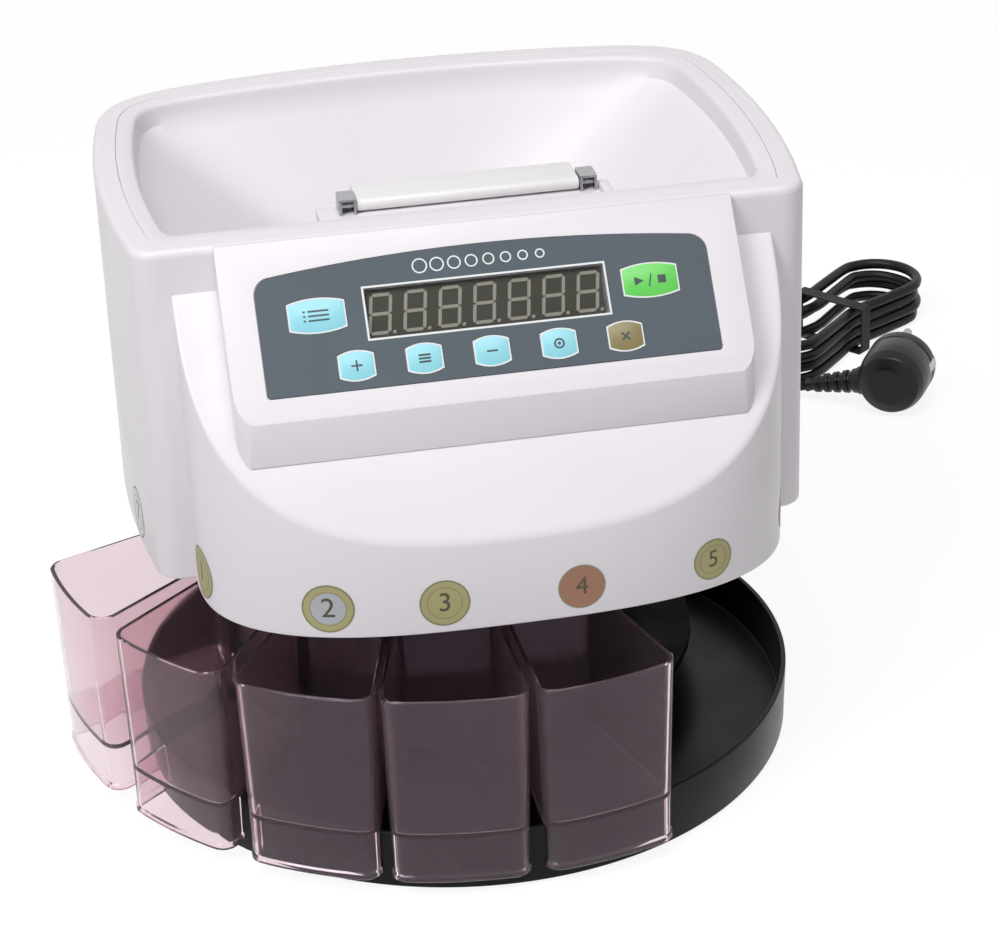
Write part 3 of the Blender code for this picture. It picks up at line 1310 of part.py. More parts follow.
def smooth_path(knots, spacing):
    """Points at even distances on a smooth curve through all but the first and last of the knots.

    Those two lie one straight piece beyond the curve and are added to its ends.
    """
    fine = []
    pieces = 12
    for a, b, c, d in zip(knots, knots[1:], knots[2:], knots[3:]):
        for k in range(pieces):
            t = k / pieces
            fine.append(((b * 2) + (c - a) * t + (a * 2 - b * 5 + c * 4 - d) * t ** 2
                         + (b * 3 - a - c * 3 + d) * t ** 3) / 2)
    fine.append(knots[-2])
    total = sum((q - p).length for p, q in zip(fine, fine[1:]))
    count = max(2, ceil(total / spacing))
    wanted = [total * k / count for k in range(count + 1)]
    even, run, i = [], 0.0, 0
    for distance in wanted:
        while i < len(fine) - 2 and run + (fine[i + 1] - fine[i]).length < distance:
            run += (fine[i + 1] - fine[i]).length
            i += 1
        leg = (fine[i + 1] - fine[i]).length
        even.append(fine[i].lerp(fine[i + 1], min(1, (distance - run) / leg)))
    return [knots[0]] + even + [knots[-1]]


def tube(name, points, resolution, finish="cord"):
    curve = bpy.data.curves.new(name, "CURVE")
    curve.dimensions = "3D"
    curve.bevel_depth = CORD_RADIUS
    curve.bevel_resolution = resolution
    curve.use_fill_caps = True
    spline = curve.splines.new("POLY")
    spline.points.add(len(points) - 1)
    for point, place in zip(spline.points, points):
        point.co = (*place, 1)
    made = bpy.data.objects.new(name, curve)
    made.parent = ROOT
    PARTS.objects.link(made)
    curve.materials.append(FINISHES[finish])
    return made


def hank_shares():
    """Where the hank's points lie round one loop: (section, share of it) from the near fold's middle."""
    half = HANK_FOLD_POINTS // 2
    loop = [("near", 0.5 + k / HANK_FOLD_POINTS) for k in range(half)]
    loop += [("low", k / HANK_RUN_POINTS) for k in range(HANK_RUN_POINTS)]
    loop += [("far", k / HANK_FOLD_POINTS) for k in range(HANK_FOLD_POINTS)]
    loop += [("high", k / HANK_RUN_POINTS) for k in range(HANK_RUN_POINTS)]
    loop += [("near", k / HANK_FOLD_POINTS) for k in range(half)]
    return loop


def loop_point(section, share, fold):
    """A point of a loop with round ends, whose runs are drawn in towards the waist."""
    half = HANK_RUN / 2
    if section in ("near", "far"):
        side = 1 if section == "far" else -1
        angle = -pi / 2 + pi * share
        return side * (half + fold * cos(angle)), side * fold * sin(angle)
    side = -1 if section == "low" else 1
    x = -side * half * (2 * share - 1)
    waist = HANK_INNER_FOLD * HANK_WAIST_SHARE + (fold - HANK_INNER_FOLD) * HANK_WAIST_STEP_SHARE
    drawn = (1 + cos(2 * pi * (share - 0.5))) / 2
    return x, side * (fold + (waist - fold) * drawn)


def hank_points():
    """The hank's centre line: it winds in and out again by turns, and climbs a layer at each change.

    Each climb lies along the upper run, in the half turn about the place where the winding changes.
    """
    loop = hank_shares()
    per_loop = len(loop)
    change = HANK_FOLD_POINTS * 1.5 + HANK_RUN_POINTS * 1.5
    first_z = TIE_THICKNESS + GAP + CORD_RADIUS
    c, s = cos(HANK_HEADING), sin(HANK_HEADING)
    points = []
    for k in range(round(HANK_TURNS * per_loop) + 1):
        wound = (k - change) / per_loop + 1
        layer = min(int(wound), HANK_LAYERS - 1)
        inward = wound - layer if layer % 2 == 0 else 1 - (wound - layer)
        climb = sum(max(0, min(1, (wound - at) * 2 + 0.5)) for at in range(1, HANK_LAYERS))
        fold = HANK_INNER_FOLD + HANK_STEP * (1 - inward)
        x, y = loop_point(*loop[k % per_loop], fold)
        points.append(Vector((HANK_CENTRE[0] + x * c - y * s, HANK_CENTRE[1] + x * s + y * c,
                              first_z + HANK_LAYER_STEP * climb)))
    return points


def path_length(points):
    return sum((q - p).length for p, q in zip(points, points[1:]))


def tightest_bend(points):
    """The least radius of the circles through each three neighbouring points."""
    least = 1.0
    for a, b, c in zip(points, points[1:], points[2:]):
        area = (b - a).cross(c - a).length
        if area > 0:
            least = min(least, (b - a).length * (c - b).length * (c - a).length / (2 * area))
    return least


def fine_points(points, pieces=4):
    return [a.lerp(b, k / pieces) for a, b in zip(points, points[1:]) for k in range(pieces)] + [points[-1]]


def least_gap(first, second, reach=0.0):
    """The least clear distance between two cords, leaving out what lies within reach along the same one."""
    a, b = fine_points(first), fine_points(second)
    step = path_length(first) / (len(a) - 1)
    skip = ceil(reach / step)
    least = 1.0
    for i, p in enumerate(a):
        for q in b[i + skip:] if reach else b:
            least = min(least, (p - q).length)
    return least - CORD_DIAMETER


def plug_directions():
    """Which way the plug's pins, its cord and the line between its pins point."""
    ahead = Vector((cos(PLUG_HEADING), sin(PLUG_HEADING), 0))
    level = Vector((-sin(PLUG_HEADING), cos(PLUG_HEADING), 0))
    up = Vector((0, 0, 1))
    out = level * cos(PLUG_DROOP) - up * sin(PLUG_DROOP)
    across = up * cos(PLUG_DROOP) + level * sin(PLUG_DROOP)
    return ahead, out, across


def neck_tip():
    ahead, out, _ = plug_directions()
    root = Vector((*PLUG_CENTRE, PLUG_RADIUS)) - ahead * PLUG_NECK_SET_BACK
    return root + out * (PLUG_RADIUS + PLUG_NECK_LENGTH)


def make_cord():
    bend = hank_points()
    start = bend[0] + (bend[0] - bend[1]).normalized() * CORD_DIAMETER
    end = bend[-1] + (bend[-1] - bend[-2]).normalized() * CORD_DIAMETER
    hank = [start] + bend + [end]
    tube("cord_hank", hank, 1)
    into = (bend[0] - start).normalized()
    run_end = start - into * GAP
    boot = Vector((BOOT_X, rear_cover_back() + BOOT_LENGTH + GAP, BOOT_Z))
    route = [boot, boot + Vector((0, CORD_DIAMETER, 0))] + [Vector(p) for p in RUN_ROUTE] \
        + [run_end - into * CORD_DIAMETER, run_end]
    run = smooth_path(route, CORD_POINT_SPACING)
    tube("cord_run", run, 2)
    away = (end - bend[-1]).normalized()
    lead_start = end + away * GAP
    out = plug_directions()[1]
    lead_end = neck_tip() + out * GAP
    route = [lead_start, lead_start + away * CORD_DIAMETER] + [Vector(p) for p in LEAD_ROUTE] \
        + [lead_end + out * CORD_DIAMETER, lead_end]
    lead = smooth_path(route, CORD_POINT_SPACING)
    tube("cord_lead", lead, 2)
    report_cord(hank, run, lead)


def report_cord(hank, run, lead):
    print("hank's least gap to itself %.2f mm" % (least_gap(hank, hank, HANK_INNER_FOLD * 2) * 1000))
    print("least gaps: run to hank %.2f mm, lead to hank %.2f mm, run to lead %.2f mm" % tuple(
        least_gap(a, b) * 1000 for a, b in ((run[:-2], hank), (lead[2:], hank), (run, lead))))
    for name, points in (("run", run), ("hank", hank), ("lead", lead)):
        print("%s: %.0f mm long, tightest bend %.1f mm, lowest %.2f mm" % (
            name, path_length(points) * 1000, tightest_bend(points) * 1000,
            (min(p.z for p in points) - CORD_RADIUS) * 1000))


def make_tie():
    """A strap round the hank's waist."""
    waist = HANK_INNER_FOLD * HANK_WAIST_SHARE + HANK_STEP * HANK_WAIST_STEP_SHARE
    half_width = waist + CORD_RADIUS + TIE_CLEARANCE
    high = TIE_THICKNESS + GAP + CORD_DIAMETER + HANK_LAYER_STEP * (HANK_LAYERS - 1) + TIE_CLEARANCE
    inner = rectangle(half_width * 2, high - TIE_THICKNESS, 0, (high + TIE_THICKNESS) / 2)
    outer = rectangle((half_width + TIE_THICKNESS) * 2, high + TIE_THICKNESS, 0, (high + TIE_THICKNESS) / 2)
    tie = along_x("hank_tie", outer, -TIE_WIDTH / 2, TIE_WIDTH / 2, finish="tie", location=(*HANK_CENTRE, 0),
                  rotation=(0, 0, HANK_HEADING))
    room = along_x("hank_tie_room", inner, -TIE_WIDTH, TIE_WIDTH, location=(*HANK_CENTRE, 0),
                   rotation=(0, 0, HANK_HEADING))
    combine(tie, room)


def facing(direction, across):
    """The turn that points a piece's own Z along a direction and its X across."""
    side = direction.cross(across)
    return Matrix((across, side, direction)).transposed().to_euler()


def make_plug():
    """An angled mains plug on its side: its cord leaves it square to its pins."""
    ahead, out, across = plug_directions()
    middle = Vector((*PLUG_CENTRE, PLUG_RADIUS))
    turn = facing(ahead, across)
    half = PLUG_LENGTH / 2
    body = turned("plug_body", [
        (0, half), (PLUG_RADIUS - PLUG_CHAMFER / 3, half), (PLUG_RADIUS, half - PLUG_CHAMFER / 3),
        (PLUG_RADIUS, PLUG_CHAMFER - half), (PLUG_RADIUS - PLUG_CHAMFER, -half), (0, -half)],
        steps=MID_STEPS, finish="plug", location=middle, rotation=turn)
    neck = rod("plug_neck_form", CORD_RADIUS + PLUG_NECK_WALL, 0, PLUG_NECK_LENGTH + PLUG_RADIUS / 2,
               end_radius=PLUG_NECK_ROOT, location=neck_tip(), rotation=facing(-out, across))
    combine(body, neck, "UNION")
    for name, side in (("plug_pin_low", -1), ("plug_pin_high", 1)):
        base = middle + ahead * (half + GAP) + across * side * PIN_SPACING / 2
        turned(name, [
            (0, PIN_LENGTH), (PIN_RADIUS - PIN_TIP, PIN_LENGTH), (PIN_RADIUS, PIN_LENGTH - PIN_TIP * 2),
            (PIN_RADIUS, 0), (0, 0)], steps=TINY_STEPS, finish="steel", location=base, rotation=turn)


def make_finishes():
    return {
        "shell": material("shell", (0.86, 0.84, 0.86), 0.35),
        "flap": material("flap", (0.88, 0.88, 0.86), 0.4),
        "slate": material("slate", (0.075, 0.098, 0.115), 0.35),
        "lens": material("lens", (0.05, 0.05, 0.045), 0.1, alpha=0.8),
        "module": material("module", (0.06, 0.06, 0.055), 0.5),
        "board": material("board", (0.05, 0.22, 0.10), 0.5),
        "cyan": material("cyan", (0.30, 0.72, 0.82), 0.35),
        "green": material("green", (0.13, 0.66, 0.10), 0.35),
        "olive": material("olive", (0.24, 0.20, 0.08), 0.35),
        "smoke": material("smoke", (0.22, 0.13, 0.14), 0.15, alpha=0.6),
        "tray": material("tray", (0.03, 0.03, 0.032), 0.35),
        "chassis": material("chassis", (0.03, 0.03, 0.03), 0.5),
        "rubber": material("rubber", (0.02, 0.02, 0.02), 0.8),
        "rail": material("rail", (0.7, 0.7, 0.72), 0.4, 1.0),
        "disc": material("disc", (0.75, 0.75, 0.77), 0.3, 1.0),
        "steel": material("steel", (0.6, 0.6, 0.62), 0.3, 1.0),
        "zinc": material("zinc", (0.62, 0.64, 0.66), 0.4, 1.0),
        "screw": material("screw", (0.12, 0.12, 0.13), 0.4, 1.0),
        "brass": material("brass", (0.7, 0.5, 0.2), 0.35, 1.0),
        "gear": material("gear", (0.85, 0.85, 0.8), 0.5),
        "motor": material("motor", (0.35, 0.36, 0.38), 0.4, 1.0),
        "switch": material("switch", (0.03, 0.03, 0.03), 0.4),
        "rocker": material("rocker", (0.05, 0.05, 0.05), 0.3),
        "cord": material("cord", (0.015, 0.015, 0.016), 0.5),
        "tie": material("tie", (0.02, 0.02, 0.02), 0.5),
        "plug": material("plug", (0.02, 0.02, 0.02), 0.45),
    }


def centre_on_origin():
    """Put the origin under the middle of the machine's box, measured without its free cord."""
    bpy.context.view_layer.update()
    graph = bpy.context.evaluated_depsgraph_get()
    places = []
    for item in PARTS.objects:
        if item.type == "EMPTY" or item.name in CORD_NODES:
            continue
        done = item.evaluated_get(graph)
        mesh = done.to_mesh()
        places += [(done.matrix_world @ vertex.co)[:2] for vertex in mesh.vertices]
        done.to_mesh_clear()
    x, y = [(min(side) + max(side)) / 2 for side in zip(*places)]
    ROOT.location = (-x, -y, 0)
    bpy.context.view_layer.update()
    print("frame moved by %.4f %.4f mm" % (-x * 1000, -y * 1000))


clear_scene()
PARTS = collection("coin_counter")
CUTTERS = collection("cutters")
FINISHES = make_finishes()
ROOT = bpy.data.objects.new(ROOT_NAME, None)
PARTS.objects.link(ROOT)
PANEL = bpy.data.objects.new("panel_frame", None)
PANEL.parent = ROOT
PANEL.location = (0, BODY_FRONT, INCLINE_TOP)
PANEL.rotation_euler = (INCLINE_ANGLE, 0, 0)
PARTS.objects.link(PANEL)

make_tray()
make_feet()
make_drum()
make_rear_cover()
make_screws()
make_switch()
make_boot()
make_power_board()
make_motor()
make_gears()
make_bearing()
make_deck()
make_rail()
make_disc()
make_sensor()
make_housing()
make_hopper_liner()
make_flap()
make_bezel()
make_overlay()
make_display()
make_board()
for key in keys():
    make_key(*key)
make_coin_boxes()
make_cord()
make_tie()
make_plug()
centre_on_origin()
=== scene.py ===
"""The coin counter's looks: finishes, printed panel, smoked boxes, mains cord, light and camera."""

from math import acos, asin, atan2, cos, hypot, pi, radians, sin, sqrt, tan

import bmesh
import bpy
from mathutils import Matrix, Vector


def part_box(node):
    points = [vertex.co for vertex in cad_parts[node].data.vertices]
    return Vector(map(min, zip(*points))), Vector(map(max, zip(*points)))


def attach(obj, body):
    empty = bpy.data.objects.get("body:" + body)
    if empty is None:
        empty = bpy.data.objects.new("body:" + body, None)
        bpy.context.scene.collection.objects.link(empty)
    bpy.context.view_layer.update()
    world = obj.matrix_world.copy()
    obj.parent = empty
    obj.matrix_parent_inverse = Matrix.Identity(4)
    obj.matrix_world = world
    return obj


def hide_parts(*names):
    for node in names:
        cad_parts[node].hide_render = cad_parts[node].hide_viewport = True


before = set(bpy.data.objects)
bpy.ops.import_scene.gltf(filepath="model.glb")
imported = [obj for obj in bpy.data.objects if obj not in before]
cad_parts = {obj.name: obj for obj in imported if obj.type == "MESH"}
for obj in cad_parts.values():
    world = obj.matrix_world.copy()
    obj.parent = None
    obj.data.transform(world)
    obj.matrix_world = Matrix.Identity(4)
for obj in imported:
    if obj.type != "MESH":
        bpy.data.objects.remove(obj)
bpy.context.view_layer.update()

# Sizes that the CAD has too, in metres, in the machine's own frame
BODY_BOTTOM = 0.1244
RIM_HEIGHT = 0.266
BODY_FRONT = -0.076
BODY_BACK = 0.121
BODY_HALF_WIDTH = 0.140
AXIS_Y = 0.0309
GAP = 0.0003
TRAY_RADIUS = 0.143
TRAY_CENTRE_Y = 0.0025
TRAY_HEIGHT = 0.0277
FRONT_CORNER = 0.011
MOUTH_CORNER = 0.004
SIDE_FRONT_INSET = 0.0062
SIDE_WIDEST_Y = 0.010
SIDE_BACK_Y = 0.072
BACK_CORNER_X = 0.090
BACK_BOW = 0.008
CORNER_PULL_SHARE = 0.62
SHOULDER_CLIMB_SHARES = (0.0, 0.25, 0.45, 0.6)
SHOULDER_INSET = 0.0028
SHOULDER_HEIGHT = 0.0034
SEAM_INSET = 0.0093
CEILING_DROP = 0.012
APRON_HALF_WIDTH = 0.1186
APRON_DEPTH = 0.0683
APRON_POWER = 2.78
INCLINE_TOP = 0.2478
INCLINE_ANGLE = radians(51.3)
SLAB_THICKNESS = 0.0125
CORD_DIAMETER = 0.0058
CORD_RADIUS = CORD_DIAMETER / 2

# Walls, edges and seams; the hem's edge is given as (inside the plan, above the hem)
WALL = 0.0025
HEM = 0.0003
HEM_EDGE = [(0.0006, 0), (0.0002, 0.0003), (0, 0.0009)]
LIP_WALL = 0.0027
SEAM_GAP = 0.0003
SEAM_EDGE = 0.00015
APRON_ROOT = 0.006
APRON_EDGE = 0.0018
PRINT = 0.00008
AXIS_GAP = 0.0001
WELD = 0.000002

# Hopper, with its shelf and flap; its mouth's edge is given as (inside the plan, below the rim), and its
# throat's as (above the throat, outwards)
LINER_WALL = 0.0022
MOUTH_INSET = 0.018
LIP_INSET = 0.021
LIP_DROP = 0.009
MOUTH_EDGE = [(0.0155, 0.0003), (0.0164, 0.0007), (0.0170, 0.0015), (0.0173, 0.0026), (0.0177, 0.0046)]
FUNNEL_INSET = 0.0186
LINER_FLANGE_INSET = 0.0052
LINER_FLANGE = 0.0028
THROAT_HALF_WIDTH = 0.044
THROAT_HALF_DEPTH = 0.038
THROAT_POWER = 3.0
THROAT_TOP = 0.200
THROAT_EDGE = [(0.0020, 0.0012), (-0.0006, 0), (-0.0045, 0)]
COVER_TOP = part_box("disc_cover")[1][2]
SHELF_LEFT = -0.056
SHELF_RIGHT = 0.0627
SHELF_TOP = 0.2585
SHELF_FRONT = -0.0590
SHELF_BACK = -0.0290
SHELF_EDGE = 0.0030
SHELF_ROOT = 0.0125
SHELF_BLOCK_LEFT = 0.0572
SHELF_BLOCK_BACK = -0.0365
SHELF_BLOCK_HEIGHT = 0.0030
SHELF_BEVEL = 0.0008
FLAP_LEFT = -0.0405
FLAP_RIGHT = 0.0492
FLAP_AXIS_Y = -0.0372
FLAP_AXIS_Z = 0.2616
FLAP_THICKNESS = 0.0052
FLAP_REACH = 0.0187
FLAP_BEVEL = 0.0006

# Keypad slab, along the incline from its top edge
SLAB_HALF_WIDTH = 0.1016
SLAB_LOW = -0.0574
SLAB_FOOT_LOW = -0.0713
SLAB_CORNER = 0.0085
SLAB_TAPER = 0.0005
SLAB_WALL = 0.0025
SLAB_EDGE = 0.0012
OVERLAY_THICKNESS = 0.0006
OVERLAY_PROUD = 0.0003
OVERLAY_HALF_WIDTH = 0.0882
OVERLAY_LOW = -0.0478
OVERLAY_SIDE_TOP = -0.00165
OVERLAY_ARCH = 0.0059
OVERLAY_CORNER = 0.0070
OVERLAY_LOW_CORNER = 0.0015
DISPLAY_HALF_WIDTH = 0.0464
DISPLAY_LOW = -0.0284
DISPLAY_HIGH = -0.0091
DISPLAY_MIDDLE = (DISPLAY_LOW + DISPLAY_HIGH) / 2
WINDOW_LINE = 0.0011
LENS_THICKNESS = 0.0022
PANE_CORNER = 0.0006
MODULE_MARGIN = 0.0012
DIGITS = 7
DIGIT_WIDTH = 0.0076
DIGIT_HEIGHT = 0.0150
DIGIT_PITCH = 0.0135
DIGIT_LEAN = 0.16
SEGMENT_LINE = 0.0013
TITLE_RINGS = 8
TITLE_LEFT = -0.0240
TITLE_RIGHT = 0.0230
TITLE_ROW = -0.0022
TITLE_LARGEST = 0.0030
TITLE_SMALLEST = 0.0019

# Keys
LARGE_KEY_SIZE = (0.0224, 0.0142)
SMALL_KEY_SIZE = (0.0142, 0.0124)
KEY_ARCH = 0.0017
KEY_ROW = -0.0386
KEY_PITCH = 0.0261
KEY_ROW_MIDDLE = -0.0009
LARGE_KEY_ROW = -0.0175
LEFT_LARGE_KEY_X = -0.0656
RIGHT_LARGE_KEY_X = 0.0642
KEY_PROUD = 0.0003
KEY_BORDER = 0.0006
KEY_BORDER_EDGE = 0.00012
KEY_CAP_EDGE = 0.0002
KEY_BOTTOM = 0.0086
SIGN_SIZE = 0.0042
SIGN_LINE = 0.0007

# Coin boxes and tray
BOX_RING = 0.1774
BOX_INNER_RING = 0.104
BOX_WIDTH = 0.061
BOX_TOP = 0.0932
BOX_SKIRT_BOTTOM = 0.0080
BOX_FOOT_HEIGHT = 0.0026
BOX_FOOT_PROUD = 0.0007
BOX_WALL = 0.0018
BOX_FLOOR = 0.0020
BOX_FLOOR_FILLET = 0.0005
BOX_LIP = 0.00045
BOX_DRAFT = 0.0018
BOX_CORNER = 0.008
BOX_BOW_SHARE = 0.62
BOX_INNER_CORNER = 0.005
BOX_SKIRT_CLEARANCE = 0.0006
BOX_AIM_Y = 0.085
BOX_AZIMUTHS = [radians(a) for a in (-73.5, -50.7, -29.0, -8.7, 12.0)]
TRAY_SKIRT_BOTTOM = 0.0012
TRAY_WALL = 0.0022
TRAY_DRAFT = 0.0008
TRAY_UNDERSIDE = 0.0040
TRAY_FLOOR = 0.0065
TRAY_LIP = 0.0007

# Printed discs: distance from the apron's middle, diameter and colours
STICKER_HEIGHT = 0.0133
STICKER_FILM = 0.00012
STICKER_CENTRE_SHARE = 0.70
STICKER_RING_SHARE = 0.93
STICKER_NUMBER_SHARE = 1.15
STICKERS = [
    (-0.1380, 0.0216, "coin_gold", "coin_gold"), (-0.0738, 0.0207, "coin_silver", "coin_gold"),
    (-0.0289, 0.0198, "coin_gold", "coin_gold"), (0.0248, 0.0189, "coin_copper", "coin_copper"),
    (0.0801, 0.0176, "coin_gold", "coin_gold"), (0.1340, 0.0166, "coin_copper", "coin_copper"),
]
SIDE_STICKERS = [(-1, -0.038, "coin_pale"), (1, -0.030, "coin_gold")]

# The machine's frame lies beside the row's by this much
tray_low, tray_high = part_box("base_tray")
SHIFT = Vector(((tray_low[0] + tray_high[0]) / 2, (tray_low[1] + tray_high[1]) / 2 - TRAY_CENTRE_Y, 0))

# Camera, fitted to the photograph
CAMERA_AZIMUTH = radians(-9.92)
CAMERA_ELEVATION = radians(26.85)
CAMERA_ROLL = radians(-2.16)
CAMERA_DISTANCE = 1.2919
CAMERA_TARGET = (0.0192, 0, 0.1178)
CAMERA_LENS = 108.2
SENSOR_WIDTH = 36
CAMERA_REACH = 20

# Lamps: name, place, size and power, and the room's own light
LAMPS = [("key_light", (-1.2, -1.1, 1.9), 1.1, 28), ("top_light", (0.1, -0.7, 2.2), 1.2, 20.5)]
LAMP_TARGET = (0, 0, 0.12)
ROOM_LIGHT = 0.15
ROOM_WHITE = (1.0, 0.99, 1.0, 1)

# Floor: the share of its white that shadows can darken, the share that they can't, and its place
FLOOR_SHADE = 0.20
FLOOR_GLOW = 0.88
FLOOR_REACH = 6
FLOOR_DROP = 0.0002

# Mains cord: its boot with ribs of (share of the rib's length, depth), and the CAD's route
BOOT_X = 0.018
BOOT_Z = 0.054
BOOT_LENGTH = 0.034
BOOT_FLANGE_RADIUS = 0.0095
BOOT_FLANGE = 0.0020
BOOT_ROOT_RADIUS = 0.0068
BOOT_TIP_WALL = 0.0012
BOOT_RIBS = 7
BOOT_RIB = [(0, 0), (0.62, 0), (0.72, 0.0007), (0.92, 0.0007)]
BOOT_SOFTNESS = 0.0005
COVER_BACK_Y = 0.1338
RUN_ROUTE = [
    (0.0182, 0.1800, 0.0530), (0.0200, 0.1910, 0.0480), (0.0245, 0.2020, 0.0375), (0.0310, 0.2125, 0.0235),
    (0.0405, 0.2235, 0.0110), (0.0540, 0.2345, 0.0042), (0.0700, 0.2440, 0.0031), (0.0900, 0.2560, 0.0031),
    (0.1120, 0.2695, 0.0031), (0.1340, 0.2835, 0.0031), (0.1540, 0.2970, 0.0031), (0.1712, 0.3068, 0.0031),
    (0.1845, 0.3114, 0.0031), (0.1975, 0.3098, 0.0035),
]
LEAD_ROUTE = [
    (0.2182, 0.3302, 0.0214), (0.2048, 0.3235, 0.0207), (0.1969, 0.3125, 0.0205), (0.1954, 0.2980, 0.0163),
    (0.2050, 0.2842, 0.0104),
]
HANK_CENTRE = (0.2697, 0.3372)
HANK_HEADING = radians(38.5)
HANK_LAYERS = 4
HANK_TURNS = 3 + 19 / 24
HANK_RUN = 0.090
HANK_INNER_FOLD = 0.0176
HANK_STEP = 0.0064
HANK_LAYER_STEP = 0.0063
HANK_WAIST_SHARE = 0.60
HANK_WAIST_STEP_SHARE = 1.25
HANK_FOLD_POINTS = 8
HANK_RUN_POINTS = 4
TIE_WIDTH = 0.008
TIE_THICKNESS = 0.0008
TIE_CLEARANCE = 0.0008
TIE_CORNER = 0.0022
PLUG_CENTRE = (0.2790, 0.2510)
PLUG_HEADING = radians(58)
PLUG_DROOP = radians(12.2)
PLUG_RADIUS = 0.0185
PLUG_LENGTH = 0.034
PLUG_NECK_LENGTH = 0.030
PLUG_NECK_ROOT = 0.0075
PLUG_NECK_WALL = 0.0012
PLUG_NECK_SET_BACK = 0.0050
PLUG_SOFTNESS = 0.0009
PLUG_NECK_RIBS = 5
PLUG_NECK_FIRST_RIB = 0.0030
PLUG_NECK_BITE = 0.0004
PLUG_NECK_LIFT = 0.0002
PLUG_NECK_SOFTNESS = 0.0006
CLIP_SIZE = (0.0050, 0.0007, 0.0120)
CLIP_PROUD = 0.00005
CLIP_SET_BACK = 0.0075
CLIP_EDGE = 0.0002

# The plug's back as (share of its radius, distance from the back), its rim as (inside the radius, behind the
# face) with the groove and step of its insert, and its sunk face as (share of its radius, behind the face)
PLUG_BACK = [(0.55, 0), (0.86, 0.0028), (0.97, 0.0080), (1, 0.0140)]
PLUG_RIM = [(0, 0.0100), (0.0006, 0.0096), (0.0006, 0.0088), (0, 0.0084), (0, 0.0022), (0.0012, 0.0010),
            (0.0012, 0)]
PLUG_FACE = [(0.72, 0), (0.70, 0.0006)]

# One rib of the plug's neck: shares of the neck's radius and of the rib's length
PLUG_NECK_RIB = [(0.80, 0), (0.80, 0.34), (1.04, 0.40), (1.10, 0.98)]

# Which way the plug's pins, its cord and the line between its pins point, and where its neck ends
UP = Vector((0, 0, 1))
PLUG_LEVEL = Vector((-sin(PLUG_HEADING), cos(PLUG_HEADING), 0))
PLUG_AHEAD = Vector((cos(PLUG_HEADING), sin(PLUG_HEADING), 0))
PLUG_OUT = PLUG_LEVEL * cos(PLUG_DROOP) - UP * sin(PLUG_DROOP)
PLUG_ACROSS = UP * cos(PLUG_DROOP) + PLUG_LEVEL * sin(PLUG_DROOP)
PLUG_MIDDLE = Vector((*PLUG_CENTRE, PLUG_RADIUS))
NECK_TIP = PLUG_MIDDLE - PLUG_AHEAD * PLUG_NECK_SET_BACK + PLUG_OUT * (PLUG_RADIUS + PLUG_NECK_LENGTH)

DETAILS = bpy.data.collections.new("details")
bpy.context.scene.collection.children.link(DETAILS)
SMOOTH_ANGLE = radians(35)
NOISE_SPAN = (0.3, 0.7)


def set_inputs(node, **values):
    """Set a node's inputs by their names, with an underscore for a space."""
    for socket, value in values.items():
        node.inputs[socket.replace("_", " ")].default_value = value
    return node


def new_material(name, **sockets):
    """A material with a Principled shader, and its nodes and links for what is painted onto it."""
    made = bpy.data.materials.new(name)
    made.use_nodes = True
    nodes, links = made.node_tree.nodes, made.node_tree.links
    return made, nodes, links, set_inputs(nodes["Principled BSDF"], **sockets)


def noise_node(nodes, links, scale, detail, stretch=(1, 1, 1)):
    """Noise over the object's own coordinates, stretched along an axis where the stretch is small."""
    mapping = set_inputs(nodes.new("ShaderNodeMapping"), Scale=stretch)
    noise = set_inputs(nodes.new("ShaderNodeTexNoise"), Scale=scale, Detail=detail)
    links.new(nodes.new("ShaderNodeTexCoord").outputs["Object"], mapping.inputs["Vector"])
    links.new(mapping.outputs["Vector"], noise.inputs["Vector"])
    return noise.outputs["Fac"]


def ramp_node(nodes, links, source, positions, colours, shader):
    """Colour the shader by a source, from one colour to the next between two of the source's values."""
    ramp = nodes.new("ShaderNodeValToRGB")
    for stop, position, colour in zip(ramp.color_ramp.elements, positions, colours):
        stop.position = position
        stop.color = (*colour, 1)
    links.new(source, ramp.inputs["Fac"])
    links.new(ramp.outputs["Color"], shader.inputs["Base Color"])


def scaled(colour, share):
    return tuple(min(1, c * share) for c in colour)


def surface(name, colours, gloss, relief, noises, **sockets):
    """A material whose colour, gloss and relief follow noises; the last serves where no more are given."""
    made, nodes, links, shader = new_material(name, **sockets)
    found = [noise_node(nodes, links, *noise) for noise in noises]
    tone, smear, grain = (found + found[-1:] * 2)[:3]
    ramp_node(nodes, links, tone, NOISE_SPAN, colours, shader)
    spread = set_inputs(nodes.new("ShaderNodeMapRange"), From_Min=NOISE_SPAN[0], From_Max=NOISE_SPAN[1],
                        To_Min=gloss[0], To_Max=gloss[1])
    links.new(smear, spread.inputs["Value"])
    links.new(spread.outputs["Result"], shader.inputs["Roughness"])
    bump = set_inputs(nodes.new("ShaderNodeBump"), Strength=relief[0], Distance=relief[1])
    links.new(grain, bump.inputs["Height"])
    links.new(bump.outputs["Normal"], shader.inputs["Normal"])
    return made


def plastic(name, colour, roughness, grain=1400, relief=0.00004, drift=0.04, **sockets):
    """A moulded surface: slow drift of colour and gloss, and the fine grain of the mould."""
    return surface(name, [scaled(colour, 1 - drift), scaled(colour, 1 + drift / 2)],
                   (roughness * 0.85, roughness * 1.2), (0.5, relief), [(9, 4), (38, 5), (grain, 2)],
                   Roughness=roughness, **sockets)


def metal(name, colour, roughness, stretch=(1, 1, 1)):
    """Bright or blackened metal, with the fine lines that its making leaves."""
    return surface(name, [scaled(colour, 0.88), scaled(colour, 1.06)], (roughness * 0.75, roughness * 1.3),
                   (0.4, 0.00003), [(900, 3, stretch)], Roughness=roughness, Metallic=1)


